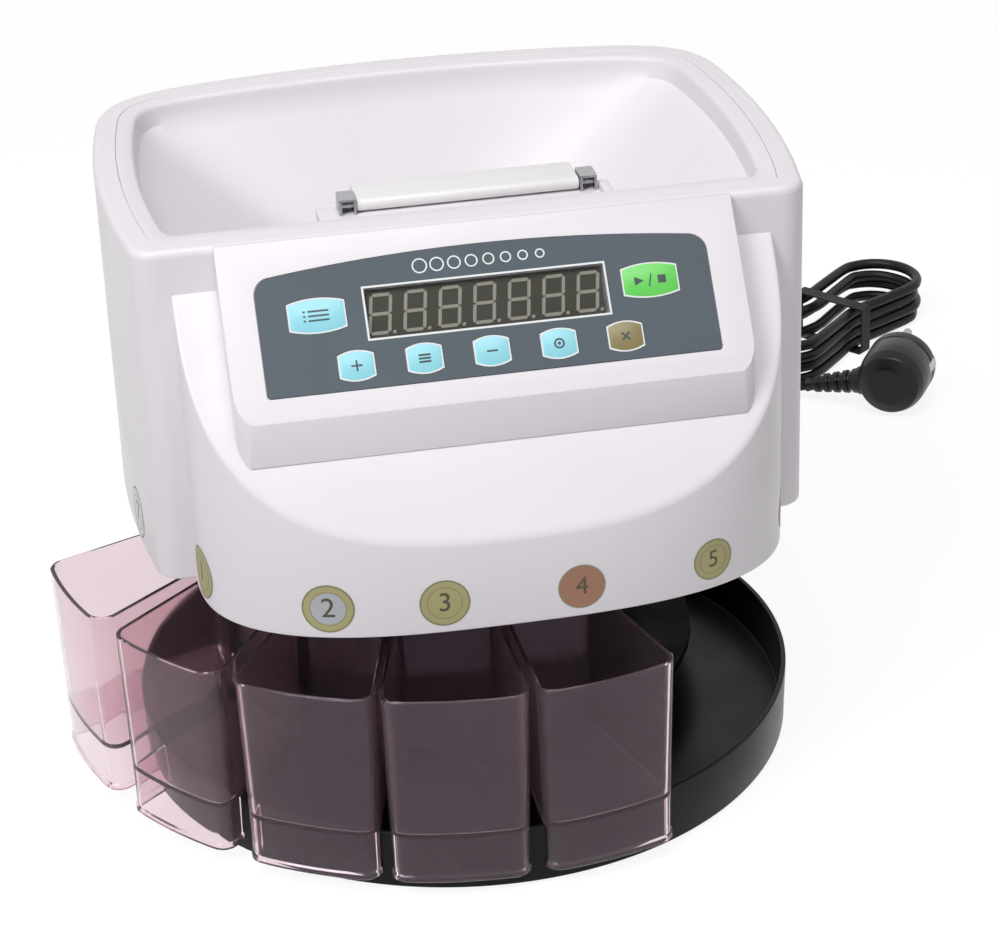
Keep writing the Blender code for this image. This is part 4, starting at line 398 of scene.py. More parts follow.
def smoked_plastic():
    """Clear plum-brown plastic: each wall takes its share of the light, and its faces mirror the room with a
    painted purple tint.
    """
    # The purple Specular_Tint is a painted reflection: it tints the mirrored white room as if the room were
    # bluish.
    return surface("smoked_plastic", [(0.83, 0.69, 0.735), (0.89, 0.75, 0.785)], (0.03, 0.08), (0.1, 0.00003),
                   [(14, 3), (45, 2)], Roughness=0.05, IOR=1.27, Transmission_Weight=0.965,
                   Specular_Tint=(0.82, 0.72, 1.0, 1.0))


def board_material():
    """Green lacquer with the cells of its tracks."""
    made, nodes, links, shader = new_material("circuit_board", Roughness=0.4)
    cells = set_inputs(nodes.new("ShaderNodeTexVoronoi"), Scale=260)
    links.new(nodes.new("ShaderNodeTexCoord").outputs["Object"], cells.inputs["Vector"])
    ramp_node(nodes, links, cells.outputs["Distance"], (0.2, 0.55), [(0.05, 0.24, 0.11), (0.03, 0.17, 0.08)],
              shader)
    return made


def make_finishes():
    film, ink = dict(grain=2600, relief=0.00002), dict(grain=500, relief=0.00006)
    white, soft = dict(drift=0.015), dict(Specular_IOR_Level=0.3)
    return {
        "shell": plastic("white_shell", (0.83, 0.79, 0.83), 0.36, **white),
        "liner": plastic("white_liner", (0.83, 0.79, 0.83), 0.40, **white),
        "flap": plastic("white_flap", (0.84, 0.83, 0.83), 0.33, **white),
        "overlay": plastic("slate_film", (0.108, 0.131, 0.152), 0.34, **film, drift=0.12,
                           Specular_IOR_Level=0.12),
        "white_print": plastic("white_print", (0.80, 0.82, 0.82), 0.4, drift=0.02),
        "dark_print": plastic("dark_print", (0.03, 0.05, 0.06), 0.4),
        "key_blue": plastic("cyan_print", (0.30, 0.70, 0.80), 0.34, **film),
        "key_green": plastic("green_print", (0.13, 0.64, 0.10), 0.34, **film),
        "key_olive": plastic("olive_print", (0.24, 0.20, 0.08), 0.34, **film),
        "module": plastic("display_module", (0.050, 0.047, 0.036), 0.5, **soft),
        "segment": plastic("unlit_segments", (0.42, 0.41, 0.34), 0.5),
        "lens": plastic("display_lens", (0.05, 0.05, 0.04), 0.14, relief=0.00001, Alpha=0.12, **soft),
        "smoke": smoked_plastic(),
        "black": plastic("black_moulding", (0.005, 0.005, 0.005), 0.30, drift=0.2, Specular_IOR_Level=0.14),
        "satin_black": plastic("black_chassis", (0.004, 0.003, 0.003), 0.6, drift=0.2,
                               Specular_IOR_Level=0.05),
        "rubber": plastic("black_rubber", (0.020, 0.020, 0.021), 0.62, 700, 0.00008, 0.25, **soft),
        "cord": plastic("cord_sheath", (0.006, 0.006, 0.007), 0.36, 420, 0.00006, 0.2,
                        Specular_IOR_Level=0.22),
        "plug": plastic("plug_moulding", (0.009, 0.009, 0.010), 0.32, 900, 0.00004, 0.2, **soft),
        "steel": metal("bright_steel", (0.40, 0.41, 0.42), 0.26, (1, 8, 1)),
        "rail": metal("turned_aluminium", (0.74, 0.74, 0.76), 0.34, (1, 1, 12)),
        "screw": metal("black_steel", (0.10, 0.10, 0.11), 0.35),
        "brass": metal("turned_brass", (0.70, 0.50, 0.20), 0.3),
        "gear": plastic("natural_acetal", (0.80, 0.79, 0.72), 0.42),
        "motor": plastic("grey_paint", (0.30, 0.31, 0.33), 0.4, 300, 0.00006),
        "board": board_material(),
        "coin_gold": plastic("printed_gold", (0.42, 0.38, 0.17), 0.42, **ink, drift=0.25),
        "coin_silver": plastic("printed_silver", (0.44, 0.46, 0.49), 0.42, **ink, drift=0.2),
        "coin_copper": plastic("printed_copper", (0.34, 0.16, 0.10), 0.42, **ink, drift=0.25),
        "coin_pale": plastic("printed_pale", (0.66, 0.68, 0.68), 0.42, **ink, drift=0.1),
        "sticker_edge": plastic("printed_line", (0.24, 0.22, 0.12), 0.45, drift=0.2),
        "sticker_ink": plastic("printed_ink", (0.07, 0.06, 0.03), 0.45, drift=0.2),
    }


FINISHES = make_finishes()


def dress(node, finish, edge=None):
    """Give a CAD node that stays its finish, and soften its corners."""
    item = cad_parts[node]
    item.data.materials.clear()
    item.data.materials.append(FINISHES[finish])
    if edge:
        soften(item, edge)


def soften(item, width, segments=2):
    step = item.modifiers.new("edges", "BEVEL")
    step.width = width
    step.segments = segments
    step.limit_method = "ANGLE"
    step.angle_limit = SMOOTH_ANGLE
    step.use_clamp_overlap = True
    return item


def add_piece(name, parts, body="machine", stands_for=()):
    """Join (mesh, finish) parts, built in the machine's frame, into one piece that rides a body."""
    made = bpy.data.objects.new(name, mixed(name, parts))
    made.data.transform(Matrix.Translation(SHIFT))
    return placed(made, body, stands_for)


def placed(made, body, stands_for):
    DETAILS.objects.link(made)
    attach(made, body)
    if stands_for:
        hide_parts(*stands_for)
    return made


def shade(mesh):
    mesh.shade_smooth()
    mesh.set_sharp_from_angle(angle=SMOOTH_ANGLE)
    return mesh


def finished(name, work):
    bmesh.ops.recalc_face_normals(work, faces=work.faces)
    mesh = bpy.data.meshes.new(name)
    work.to_mesh(mesh)
    work.free()
    return shade(mesh)


def lofted(name, rings, looped=False):
    """A closed form through rings of equally many points."""
    work = bmesh.new()
    rows = [[work.verts.new(point) for point in ring] for ring in rings]
    pairs = list(zip(rows, rows[1:]))
    if looped:
        pairs.append((rows[-1], rows[0]))
    else:
        work.faces.new(rows[0])
        work.faces.new(rows[-1])
    count = len(rows[0])
    for lower, upper in pairs:
        for i in range(count):
            j = (i + 1) % count
            work.faces.new((lower[i], lower[j], upper[j], upper[i]))
    return finished(name, work)


def turned(name, profile, steps=64):
    """A form turned about Z from (radius, height) points; its first and last points close on the axis."""
    return lofted(name, [ring_at(dot(r, steps=steps), z) for r, z in profile])


def curved(a, b, c, share):
    """A point on the curve from a to c that b pulls towards itself."""
    return tuple(Vector(a) * (1 - share) ** 2 + Vector(b) * 2 * share * (1 - share) + Vector(c) * share ** 2)


def rounded_profile(points, radius, steps=4):
    """Round the inner corners of an open profile."""
    rounded = [points[0]]
    for before, here, after in zip(points, points[1:], points[2:]):
        a, b, c = Vector(before), Vector(here), Vector(after)
        reach = min(radius, (a - b).length / 2, (c - b).length / 2)
        start, end = b + (a - b).normalized() * reach, b + (c - b).normalized() * reach
        rounded += [curved(start, b, end, k / steps) for k in range(steps + 1)]
    return rounded + [points[-1]]


def flat_mesh(name, outlines, low, high):
    """A flat plate from 2D outlines, the first of them its edge and the rest its holes."""
    curve = bpy.data.curves.new(name, "CURVE")
    curve.dimensions = "2D"
    curve.fill_mode = "BOTH"
    curve.extrude = (high - low) / 2
    for outline in outlines:
        add_line(curve, ring_at(outline, 0)).use_cyclic_u = True
    return curve_mesh(name, curve, (low + high) / 2)


def add_line(curve, points):
    """A polyline in a curve."""
    spline = curve.splines.new("POLY")
    spline.points.add(len(points) - 1)
    for point, spot in zip(spline.points, points):
        point.co = (*spot, 1)
    return spline


def curve_mesh(name, curve, height=0.0):
    """The mesh of a curve or text, moved up by a height."""
    holder = bpy.data.objects.new(name, curve)
    bpy.context.scene.collection.objects.link(holder)
    bpy.context.view_layer.update()
    mesh = bpy.data.meshes.new_from_object(holder.evaluated_get(bpy.context.evaluated_depsgraph_get()))
    bpy.data.objects.remove(holder, do_unlink=True)
    work = bmesh.new()
    work.from_mesh(mesh)
    bmesh.ops.remove_doubles(work, verts=work.verts, dist=WELD)
    bmesh.ops.translate(work, vec=(0, 0, height), verts=work.verts)
    bmesh.ops.recalc_face_normals(work, faces=work.faces)
    work.to_mesh(mesh)
    work.free()
    mesh.materials.clear()
    mesh.name = name
    return shade(mesh)


def place(direction, across, origin):
    """The matrix that points a form's own Z along a direction and its X across, at an origin."""
    side = direction.cross(across)
    return Matrix.Translation(origin) @ Matrix((across, side, direction)).transposed().to_4x4()


def mixed(name, parts):
    """Several (mesh, finish) parts as one mesh."""
    joined = bpy.data.meshes.new(name)
    work = bmesh.new()
    for index, (mesh, _) in enumerate(parts):
        known = len(work.faces)
        work.from_mesh(mesh)
        work.faces.ensure_lookup_table()
        for face in work.faces[known:]:
            face.material_index = index
    work.to_mesh(joined)
    work.free()
    for _, finish in parts:
        joined.materials.append(FINISHES[finish])
    return shade(joined)


def smooth_line(knots, pieces):
    """Points on a smooth curve through the knots."""
    ends = [knots[0] * 2 - knots[1]] + knots + [knots[-1] * 2 - knots[-2]]
    fine = []
    for a, b, c, d in zip(ends, ends[1:], ends[2:], ends[3:]):
        for k in range(pieces):
            t = k / pieces
            fine.append(((b * 2) + (c - a) * t + (a * 2 - b * 5 + c * 4 - d) * t ** 2
                         + (b * 3 - a - c * 3 + d) * t ** 3) / 2)
    return fine + [knots[-1]]


def hank_shares():
    """Where the hank's points lie round one loop: (section, share of it) from the near fold's middle."""
    half = HANK_FOLD_POINTS // 2
    fold = [k / HANK_FOLD_POINTS for k in range(HANK_FOLD_POINTS)]
    run = [k / HANK_RUN_POINTS for k in range(HANK_RUN_POINTS)]
    sections = [("near", fold[half:]), ("low", run), ("far", fold), ("high", run), ("near", fold[:half])]
    return [(section, share) for section, shares in sections for share in shares]


def loop_point(section, share, fold):
    """A point of a loop with round ends, whose runs are drawn in towards the waist."""
    half = HANK_RUN / 2
    if section in ("near", "far"):
        side = 1 if section == "far" else -1
        angle = -pi / 2 + pi * share
        return side * (half + fold * cos(angle)), side * fold * sin(angle)
    side = -1 if section == "low" else 1
    x = -side * half * (2 * share - 1)
    waist = HANK_INNER_FOLD * HANK_WAIST_SHARE + (fold - HANK_INNER_FOLD) * HANK_WAIST_STEP_SHARE
    drawn = (1 + cos(2 * pi * (share - 0.5))) / 2
    return x, side * (fold + (waist - fold) * drawn)


def hank_points():
    """The hank's centre line: it winds in and out again by turns, and climbs a layer at each change."""
    loop = hank_shares()
    per_loop = len(loop)
    change = (HANK_FOLD_POINTS + HANK_RUN_POINTS) * 1.5
    first_z = TIE_THICKNESS + GAP + CORD_RADIUS
    points = []
    for k in range(round(HANK_TURNS * per_loop) + 1):
        wound = (k - change) / per_loop + 1
        layer = min(int(wound), HANK_LAYERS - 1)
        inward = wound - layer if layer % 2 == 0 else 1 - (wound - layer)
        climb = sum(max(0, min(1, (wound - at) * 2 + 0.5)) for at in range(1, HANK_LAYERS))
        spot = [loop_point(*loop[k % per_loop], HANK_INNER_FOLD + HANK_STEP * (1 - inward))]
        x, y = moved(turned_flat(spot, HANK_HEADING), *HANK_CENTRE)[0]
        points.append(Vector((x, y, first_z + HANK_LAYER_STEP * climb)))
    return points


def make_cord():
    """The cord as one line: out of the boot, over the floor, through the hank and up to the plug."""
    start = Vector((BOOT_X, COVER_BACK_Y + BOOT_LENGTH, BOOT_Z))
    knots = [start, start + Vector((0, CORD_DIAMETER, 0))] + [Vector(p) for p in RUN_ROUTE] + hank_points()
    knots += [Vector(p) for p in LEAD_ROUTE] + [NECK_TIP + PLUG_OUT * CORD_DIAMETER, NECK_TIP]
    curve = bpy.data.curves.new("mains_cord", "CURVE")
    curve.dimensions = "3D"
    curve.bevel_depth = CORD_RADIUS
    curve.bevel_resolution = 4
    curve.use_fill_caps = True
    add_line(curve, [spot + SHIFT for spot in smooth_line(knots, 4)]).use_smooth = True
    curve.materials.append(FINISHES["cord"])
    cord = bpy.data.objects.new("mains_cord", curve)
    return placed(cord, "machine", ["cord_run", "cord_hank", "cord_lead"]), start + SHIFT


def make_boot():
    """The strain relief: a flange and a tapered sleeve with soft ribs."""
    profile = [(AXIS_GAP, 0), (BOOT_FLANGE_RADIUS, 0), (BOOT_FLANGE_RADIUS, BOOT_FLANGE)]
    end, tip = BOOT_LENGTH - GAP * 2, CORD_RADIUS + BOOT_TIP_WALL
    for k in range(BOOT_RIBS):
        for share, depth in BOOT_RIB:
            along = (k + share) / BOOT_RIBS
            radius = BOOT_ROOT_RADIUS + (tip - BOOT_ROOT_RADIUS) * along
            profile.append((radius - depth, BOOT_FLANGE + (end - BOOT_FLANGE) * along))
    profile += [(tip, end), (CORD_RADIUS + AXIS_GAP, end)]
    mesh = turned("boot", rounded_profile(profile, BOOT_SOFTNESS, 2), 40)
    mesh.transform(place(Vector((0, 1, 0)), Vector((1, 0, 0)), Vector((BOOT_X, COVER_BACK_Y + GAP, BOOT_Z))))
    add_piece("cord_strain_relief", [(mesh, "rubber")], stands_for=["cord_boot"])


def plug_body_mesh():
    """The plug's round body, with the step and groove where its front insert meets the moulding."""
    half, rim = PLUG_LENGTH / 2, PLUG_RADIUS
    profile = [(AXIS_GAP, -half)] + [(rim * share, along - half) for share, along in PLUG_BACK]
    profile += [(rim - inside, half - behind) for inside, behind in PLUG_RIM]
    profile += [(rim * share, half - behind) for share, behind in PLUG_FACE]
    profile.append((AXIS_GAP, profile[-1][1]))
    return turned("plug_body", rounded_profile(profile, PLUG_SOFTNESS, 3))


def plug_neck_mesh():
    """The plug's ribbed bend relief, from its body to the cord."""
    length = PLUG_NECK_LENGTH + PLUG_RADIUS / 2
    tip = CORD_RADIUS + PLUG_NECK_WALL
    profile = [(CORD_RADIUS - PLUG_NECK_BITE, PLUG_NECK_LIFT), (tip, PLUG_NECK_LIFT)]
    step = (PLUG_NECK_LENGTH - PLUG_NECK_FIRST_RIB) / PLUG_NECK_RIBS
    for k in range(PLUG_NECK_RIBS):
        z = PLUG_NECK_FIRST_RIB + step * k
        radius = tip + (PLUG_NECK_ROOT - tip) * (z / length)
        profile += [(radius * wide, z + step * along) for wide, along in PLUG_NECK_RIB]
    profile += [(PLUG_NECK_ROOT, PLUG_NECK_LENGTH), (PLUG_NECK_ROOT * 1.1, length), (AXIS_GAP, length)]
    return turned("plug_neck", rounded_profile(profile, PLUG_NECK_SOFTNESS, 2), 40)


def make_plug():
    """The plug with its ribbed neck, and the earth clips let into its rim."""
    turn = place(PLUG_AHEAD, PLUG_ACROSS, PLUG_MIDDLE)
    body, neck = plug_body_mesh(), plug_neck_mesh()
    body.transform(turn)
    neck.transform(place(-PLUG_OUT, PLUG_ACROSS, NECK_TIP))
    plug = add_piece("mains_plug", [(body, "plug"), (neck, "plug")],
                     stands_for=["plug_body"])
    clips = []
    for side in (-1, 1):
        work = bmesh.new()
        bmesh.ops.create_cube(work, size=1)
        bmesh.ops.scale(work, vec=CLIP_SIZE, verts=work.verts)
        spot = (0, side * (PLUG_RADIUS - CLIP_SIZE[1] / 2 + CLIP_PROUD), PLUG_LENGTH / 2 - CLIP_SET_BACK)
        bmesh.ops.translate(work, vec=spot, verts=work.verts)
        mesh = finished("clip", work)
        mesh.transform(turn)
        clips.append((mesh, "steel"))
    clip = add_piece("plug_earth_clips", clips)
    soften(clip, CLIP_EDGE)
    for node in ("plug_pin_low", "plug_pin_high"):
        dress(node, "steel")
    return plug, clip


def make_tie():
    """A woven strap round the hank's waist."""
    waist = HANK_INNER_FOLD * HANK_WAIST_SHARE + HANK_STEP * HANK_WAIST_STEP_SHARE
    half = waist + CORD_RADIUS + TIE_CLEARANCE
    high = TIE_THICKNESS + GAP + CORD_DIAMETER + HANK_LAYER_STEP * (HANK_LAYERS - 1) + TIE_CLEARANCE
    outer, inner = [
        fillet([(*corner, TIE_CORNER) for corner in ((w, low), (w, top), (-w, top), (-w, low))], 5)
        for w, low, top in ((half + TIE_THICKNESS, 0, high + TIE_THICKNESS), (half, TIE_THICKNESS, high))]
    rings = [[(x, y, z) for y, z in ring] for ring, x in (
        (outer, -TIE_WIDTH / 2), (outer, TIE_WIDTH / 2), (inner, TIE_WIDTH / 2), (inner, -TIE_WIDTH / 2))]
    mesh = lofted("strap", rings, looped=True)
    mesh.transform(Matrix.Translation((*HANK_CENTRE, 0)) @ Matrix.Rotation(HANK_HEADING, 4, "Z"))
    return add_piece("hank_strap", [(mesh, "rubber")], stands_for=["hank_tie"])


def make_camera():
    """The photograph's camera, rolled a little about its line of sight."""
    a, e, r = CAMERA_AZIMUTH, CAMERA_ELEVATION, CAMERA_ROLL
    back = Vector((sin(a) * cos(e), -cos(a) * cos(e), sin(e)))
    right = (-back).cross(UP).normalized()
    up = right.cross(-back)
    turn = Matrix((right * cos(r) + up * sin(r), up * cos(r) - right * sin(r), back)).transposed().to_4x4()
    data = bpy.data.cameras.new("camera")
    data.sensor_fit = "HORIZONTAL"
    data.sensor_width = SENSOR_WIDTH
    data.lens = CAMERA_LENS
    data.clip_end = CAMERA_REACH
    camera = bpy.data.objects.new("camera", data)
    camera.matrix_world = Matrix.Translation(Vector(CAMERA_TARGET) + SHIFT + back * CAMERA_DISTANCE) @ turn
    bpy.context.scene.collection.objects.link(camera)
    bpy.context.scene.camera = camera


def seen_as(nodes, links, gathered, seen):
    """Show one shader to the eye, also in mirrors and through clear plastic, and one to gathered light."""
    path = nodes.new("ShaderNodeLightPath")
    share = path.outputs["Is Camera Ray"]
    for kind in ("Is Glossy Ray", "Is Transmission Ray"):
        either = nodes.new("ShaderNodeMath")
        either.operation = "MAXIMUM"
        links.new(share, either.inputs[0])
        links.new(path.outputs[kind], either.inputs[1])
        share = either.outputs["Value"]
    mix = nodes.new("ShaderNodeMixShader")
    for socket, source in zip(mix.inputs, (share, gathered.outputs[0], seen.outputs[0])):
        links.new(source, socket)
    return mix.outputs["Shader"]


def make_light():
    """Soft lamps, strongest from the upper left, in a white room."""
    for name, spot, size, power in LAMPS:
        data = bpy.data.lights.new(name, "AREA")
        data.shape = "DISK"
        data.size = size
        data.energy = power
        lamp = bpy.data.objects.new(name, data)
        lamp.location = spot
        lamp.rotation_euler = (Vector(LAMP_TARGET) - Vector(spot)).to_track_quat("-Z", "Y").to_euler()
        bpy.context.scene.collection.objects.link(lamp)
    world = bpy.data.worlds.new("studio")
    bpy.context.scene.world = world
    world.use_nodes = True
    nodes, links = world.node_tree.nodes, world.node_tree.links
    dim = set_inputs(nodes["Background"], Color=ROOM_WHITE, Strength=ROOM_LIGHT)
    white = set_inputs(nodes.new("ShaderNodeBackground"), Color=ROOM_WHITE)
    links.new(seen_as(nodes, links, dim, white), nodes["World Output"].inputs["Surface"])


def make_floor():
    """A white floor that keeps the machine's shadow."""
    work = bmesh.new()
    bmesh.ops.create_grid(work, x_segments=2, y_segments=2, size=FLOOR_REACH)
    bmesh.ops.translate(work, vec=(0, 0, -FLOOR_DROP), verts=work.verts)
    floor = bpy.data.objects.new("floor", finished("floor", work))
    bpy.context.scene.collection.objects.link(floor)
    made, nodes, links, shader = new_material("floor_paper", Roughness=0.8, Base_Color=(0.80, 0.80, 0.81, 1))
    paper = set_inputs(nodes.new("ShaderNodeBsdfDiffuse"), Color=(FLOOR_SHADE, FLOOR_SHADE, FLOOR_SHADE, 1))
    glow = set_inputs(nodes.new("ShaderNodeEmission"), Strength=FLOOR_GLOW)
    both = nodes.new("ShaderNodeAddShader")
    links.new(paper.outputs["BSDF"], both.inputs[0])
    links.new(glow.outputs["Emission"], both.inputs[1])
    links.new(seen_as(nodes, links, shader, both), nodes["Material Output"].inputs["Surface"])
    floor.data.materials.append(made)


def make_inner_works():
    """Finishes and softened corners of the CAD nodes that stay."""
    for finish, edge, items in (
            ("satin_black", 0.0004, "chassis_drum deck_plate rear_cover"), ("black", 0.0003, "switch_frame"),
            ("black", 0.0004, "switch_rocker"), ("rail", None, "sorting_rail motor_plate"),
            ("rail", 0.0003, "disc_cover"), ("rail", 0.0002, "coin_disc"),
            ("steel", None, "drive_shaft motor_shaft flap_pin"),
            ("steel", 0.0002, "flap_bracket_left flap_bracket_right"),
            ("brass", None, "shaft_bearing motor_pinion"), ("gear", None, "drive_gear"),
            ("motor", None, "drive_motor transformer"),
            ("module", None, "coin_sensor"), ("board", None, "key_board power_board"),
            ("rubber", None, "foot_1 foot_2 foot_3 foot_4"),
            ("screw", None, "rear_screw_1 rear_screw_2 rear_screw_3 rear_screw_4")):
        for node in items.split():
            dress(node, finish, edge)


def side_x(y):
    """Half the housing's width at y: its sides bow gently outwards."""
    run = SIDE_WIDEST_Y - (BODY_FRONT + FRONT_CORNER)
    return BODY_HALF_WIDTH - SIDE_FRONT_INSET * ((y - SIDE_WIDEST_Y) / run) ** 2


def back_y(x):
    return BODY_BACK - BACK_BOW * (x / BACK_CORNER_X) ** 2


def arc(x, y, radius, start, turn, steps):
    """Points round a centre, from a start angle through a turn."""
    angles = [start + turn * k / steps for k in range(steps + 1)]
    return [(x + radius * cos(a), y + radius * sin(a)) for a in angles]


def bezier(a, b, c, d, segments):
    """Points on a cubic curve after its start, up to and with its end."""
    points = []
    for k in range(1, segments + 1):
        t = k / segments
        u = 1 - t
        weights = (u ** 3, 3 * u * u * t, 3 * u * t * t, t ** 3)
        points.append(tuple(sum(w * p[n] for w, p in zip(weights, (a, b, c, d))) for n in (0, 1)))
    return points


def front_corner(amount):
    """The right front corner's points, an amount inside the plan."""
    radius = max(FRONT_CORNER - amount, MOUTH_CORNER)
    x = side_x(BODY_FRONT + FRONT_CORNER) - amount - radius
    return arc(x, BODY_FRONT + amount + radius, radius, -pi / 2, pi / 2, 10)


def right_side():
    """The housing's plan from the front face's right end to the middle of its back."""
    front_y = BODY_FRONT + FRONT_CORNER
    side_steps, corner_steps, back_steps = 16, 22, 10
    points = front_corner(0)
    for k in range(1, side_steps + 1):
        y = front_y + (SIDE_BACK_Y - front_y) * k / side_steps
        points.append((side_x(y), y))
    start, end = (side_x(SIDE_BACK_Y), SIDE_BACK_Y), (BACK_CORNER_X, back_y(BACK_CORNER_X))
    reach, pull_x = (end[1] - start[1]) * CORNER_PULL_SHARE, (start[0] - end[0]) * CORNER_PULL_SHARE
    lean = (start[0] - side_x(SIDE_BACK_Y - reach)) / reach
    fall = 2 * BACK_BOW / BACK_CORNER_X
    points += bezier(start, (start[0] + lean * reach, start[1] + reach),
                     (end[0] + pull_x, end[1] - fall * pull_x), end, corner_steps)
    for k in range(1, back_steps + 1):
        x = BACK_CORNER_X * (1 - k / back_steps)
        points.append((x, back_y(x)))
    return points


def mirrored(points):
    """Complete a right half, given from front to back, counter-clockwise."""
    return points + [(-x, y) for x, y in reversed(points) if x > 0]


def inset(outline, amount):
    """Move a counter-clockwise outline inwards by an amount, along its corners' bisectors."""
    ring = []
    for before, here, after in zip(outline[-1:] + outline, outline, outline[1:] + outline[:1]):
        run, next_run = Vector(here) - Vector(before), Vector(after) - Vector(here)
        a, b = Vector((-run.y, run.x)).normalized(), Vector((-next_run.y, next_run.x)).normalized()
        middle = (a + b).normalized()
        reach = amount / max(middle.dot(a), 0.5)
        ring.append((here[0] + middle.x * reach, here[1] + middle.y * reach))
    return ring


def body_ring(amount=0.0):
    """The housing's plan moved inwards, its front corners never sharper than the mouth's."""
    ring = inset(mirrored(right_side()), amount)
    corner = front_corner(amount)
    count = len(corner)
    ring[:count] = corner
    ring[-count:] = [(-x, y) for x, y in reversed(corner)]
    return ring


def ring_at(outline, z):
    return [(x, y, z) for x, y in outline]


def body_at(amount, z):
    return ring_at(body_ring(amount), z)


def incline_height(y):
    return INCLINE_TOP + (y - BODY_FRONT) * tan(INCLINE_ANGLE)


def apron_bow(steps=120):
    """The apron's front, from its left end to its right end."""
    points = []
    for c, s in arc(0, 0, 1, pi, pi, steps):
        x = APRON_HALF_WIDTH * (1 if c >= 0 else -1) * abs(c) ** (2 / APRON_POWER)
        points.append((x, BODY_FRONT - APRON_DEPTH * abs(s) ** (2 / APRON_POWER)))
    return points


def make_housing():
    """The body's shell with its rounded shoulder, and the apron in front of it."""
    hem, lip, opening = BODY_BOTTOM + HEM, RIM_HEIGHT - LIP_WALL, SEAM_INSET + SEAM_GAP
    rings = [body_at(WALL, hem)] + [body_at(amount, hem + rise) for amount, rise in HEM_EDGE]
    start = RIM_HEIGHT - SHOULDER_HEIGHT
    rings += [body_at(SHOULDER_INSET * (1 - c), start + SHOULDER_HEIGHT * s)
              for c, s in arc(0, 0, 1, 0, pi / 2, 10)]
    rings += [body_at(opening - SEAM_EDGE, RIM_HEIGHT), body_at(opening, RIM_HEIGHT - SEAM_EDGE),
              body_at(opening, lip), body_at(WALL * 2, lip), body_at(WALL, RIM_HEIGHT - CEILING_DROP)]
    body = lofted("body", rings, looped=True)
    root = BODY_FRONT + APRON_ROOT
    outline = apron_bow() + [(APRON_HALF_WIDTH, root), (-APRON_HALF_WIDTH, root)]

    def bowed(amount, rise):
        """The apron's outline moved inwards at its bow only, at its sloping top less a rise."""
        ring = inset(outline, amount)
        ring[-2:] = [(x, root) for x, _ in ring[-2:]]
        return [(x, y, incline_height(y) - rise) for x, y in ring]

    rings = [ring_at(inset(outline, amount), hem + rise) for amount, rise in HEM_EDGE]
    corners = list(zip(bowed(0, APRON_EDGE), bowed(0, 0), bowed(APRON_EDGE, 0)))
    turns = 6
    rings += [[curved(*corner, k / turns) for corner in corners] for k in range(turns + 1)]
    add_piece("housing_shell", [(body, "shell"), (lofted("apron", rings), "shell")],
              stands_for=["main_housing"])


def throat_ring(outline, z, grow=0.0):
    """The throat's wall in the direction of each point of the housing's plan."""
    width, depth, power = THROAT_HALF_WIDTH + grow, THROAT_HALF_DEPTH + grow, THROAT_POWER
    ring = []
    for x, y in moved(outline, 0, -AXIS_Y):
        share = ((abs(x) / width) ** power + (abs(y) / depth) ** power) ** (-1 / power)
        ring.append((x * share, AXIS_Y + y * share, z))
    return ring


def between(low, high, share):
    return [tuple(Vector(a).lerp(Vector(b), share)) for a, b in zip(low, high)]


def make_liner():
    """The hopper: its rim inside the seam, its funnel down to the disc, and the flap's shelf."""
    outline = body_ring()
    seam = SEAM_INSET + SEAM_GAP + SEAM_EDGE
    flange_top, lip_z = RIM_HEIGHT - LIP_WALL - GAP, RIM_HEIGHT - LIP_DROP
    flange_bottom = flange_top - LINER_FLANGE
    rings = [body_at(seam, flange_top), body_at(seam, RIM_HEIGHT - SEAM_EDGE * 2),
             body_at(seam + SEAM_EDGE, RIM_HEIGHT - SEAM_EDGE)]
    rings += [body_at(amount, RIM_HEIGHT - drop) for amount, drop in MOUTH_EDGE]
    lip, throat = body_at(FUNNEL_INSET, lip_z), throat_ring(outline, THROAT_TOP)
    slope_steps = 12
    rings += [between(lip, throat, k / slope_steps) for k in range(slope_steps)]
    bottom = COVER_TOP + GAP
    rings += [throat_ring(outline, THROAT_TOP + rise, grow) for rise, grow in THROAT_EDGE]
    rings += [throat_ring(outline, bottom), throat_ring(outline, bottom, LINER_WALL),
              throat_ring(outline, THROAT_TOP - LINER_WALL, LINER_WALL),
              body_at(LIP_INSET - LINER_WALL / 2, lip_z - LINER_WALL * sqrt(2)),
              body_at(MOUTH_INSET - LINER_WALL / 2, flange_bottom - LINER_WALL / 2),
              body_at(LINER_FLANGE_INSET, flange_bottom), body_at(LINER_FLANGE_INSET, flange_top)]
    root, front = SHELF_TOP - SHELF_ROOT, SHELF_FRONT + SHELF_EDGE / 2
    shelf = across_mesh("shelf", [
        (SHELF_FRONT, SHELF_TOP), (SHELF_FRONT, root), (SHELF_FRONT + SHELF_EDGE * 2, root),
        (SHELF_BACK, SHELF_TOP - SHELF_EDGE), (SHELF_BACK, SHELF_TOP)], SHELF_LEFT, SHELF_RIGHT)
    low, high = SHELF_TOP - SHELF_EDGE / 2, SHELF_TOP + SHELF_BLOCK_HEIGHT
    stop = across_mesh("stop", [
        (front, low), (SHELF_BLOCK_BACK, low), (SHELF_BLOCK_BACK, high), (front, high)],
        SHELF_BLOCK_LEFT, SHELF_RIGHT - SHELF_EDGE / 2)
    meshes = [lofted("funnel", rings, looped=True)]
    meshes += [carved(mesh, [("BEVEL", SHELF_BEVEL)]) for mesh in (shelf, stop)]
    add_piece("hopper", [(mesh, "liner") for mesh in meshes], stands_for=["hopper_liner"])


def across_mesh(name, outline, left, right):
    """Extrude an outline of (y, z) points along X."""
    return lofted(name, [[(x, y, z) for y, z in outline] for x in (left, right)])


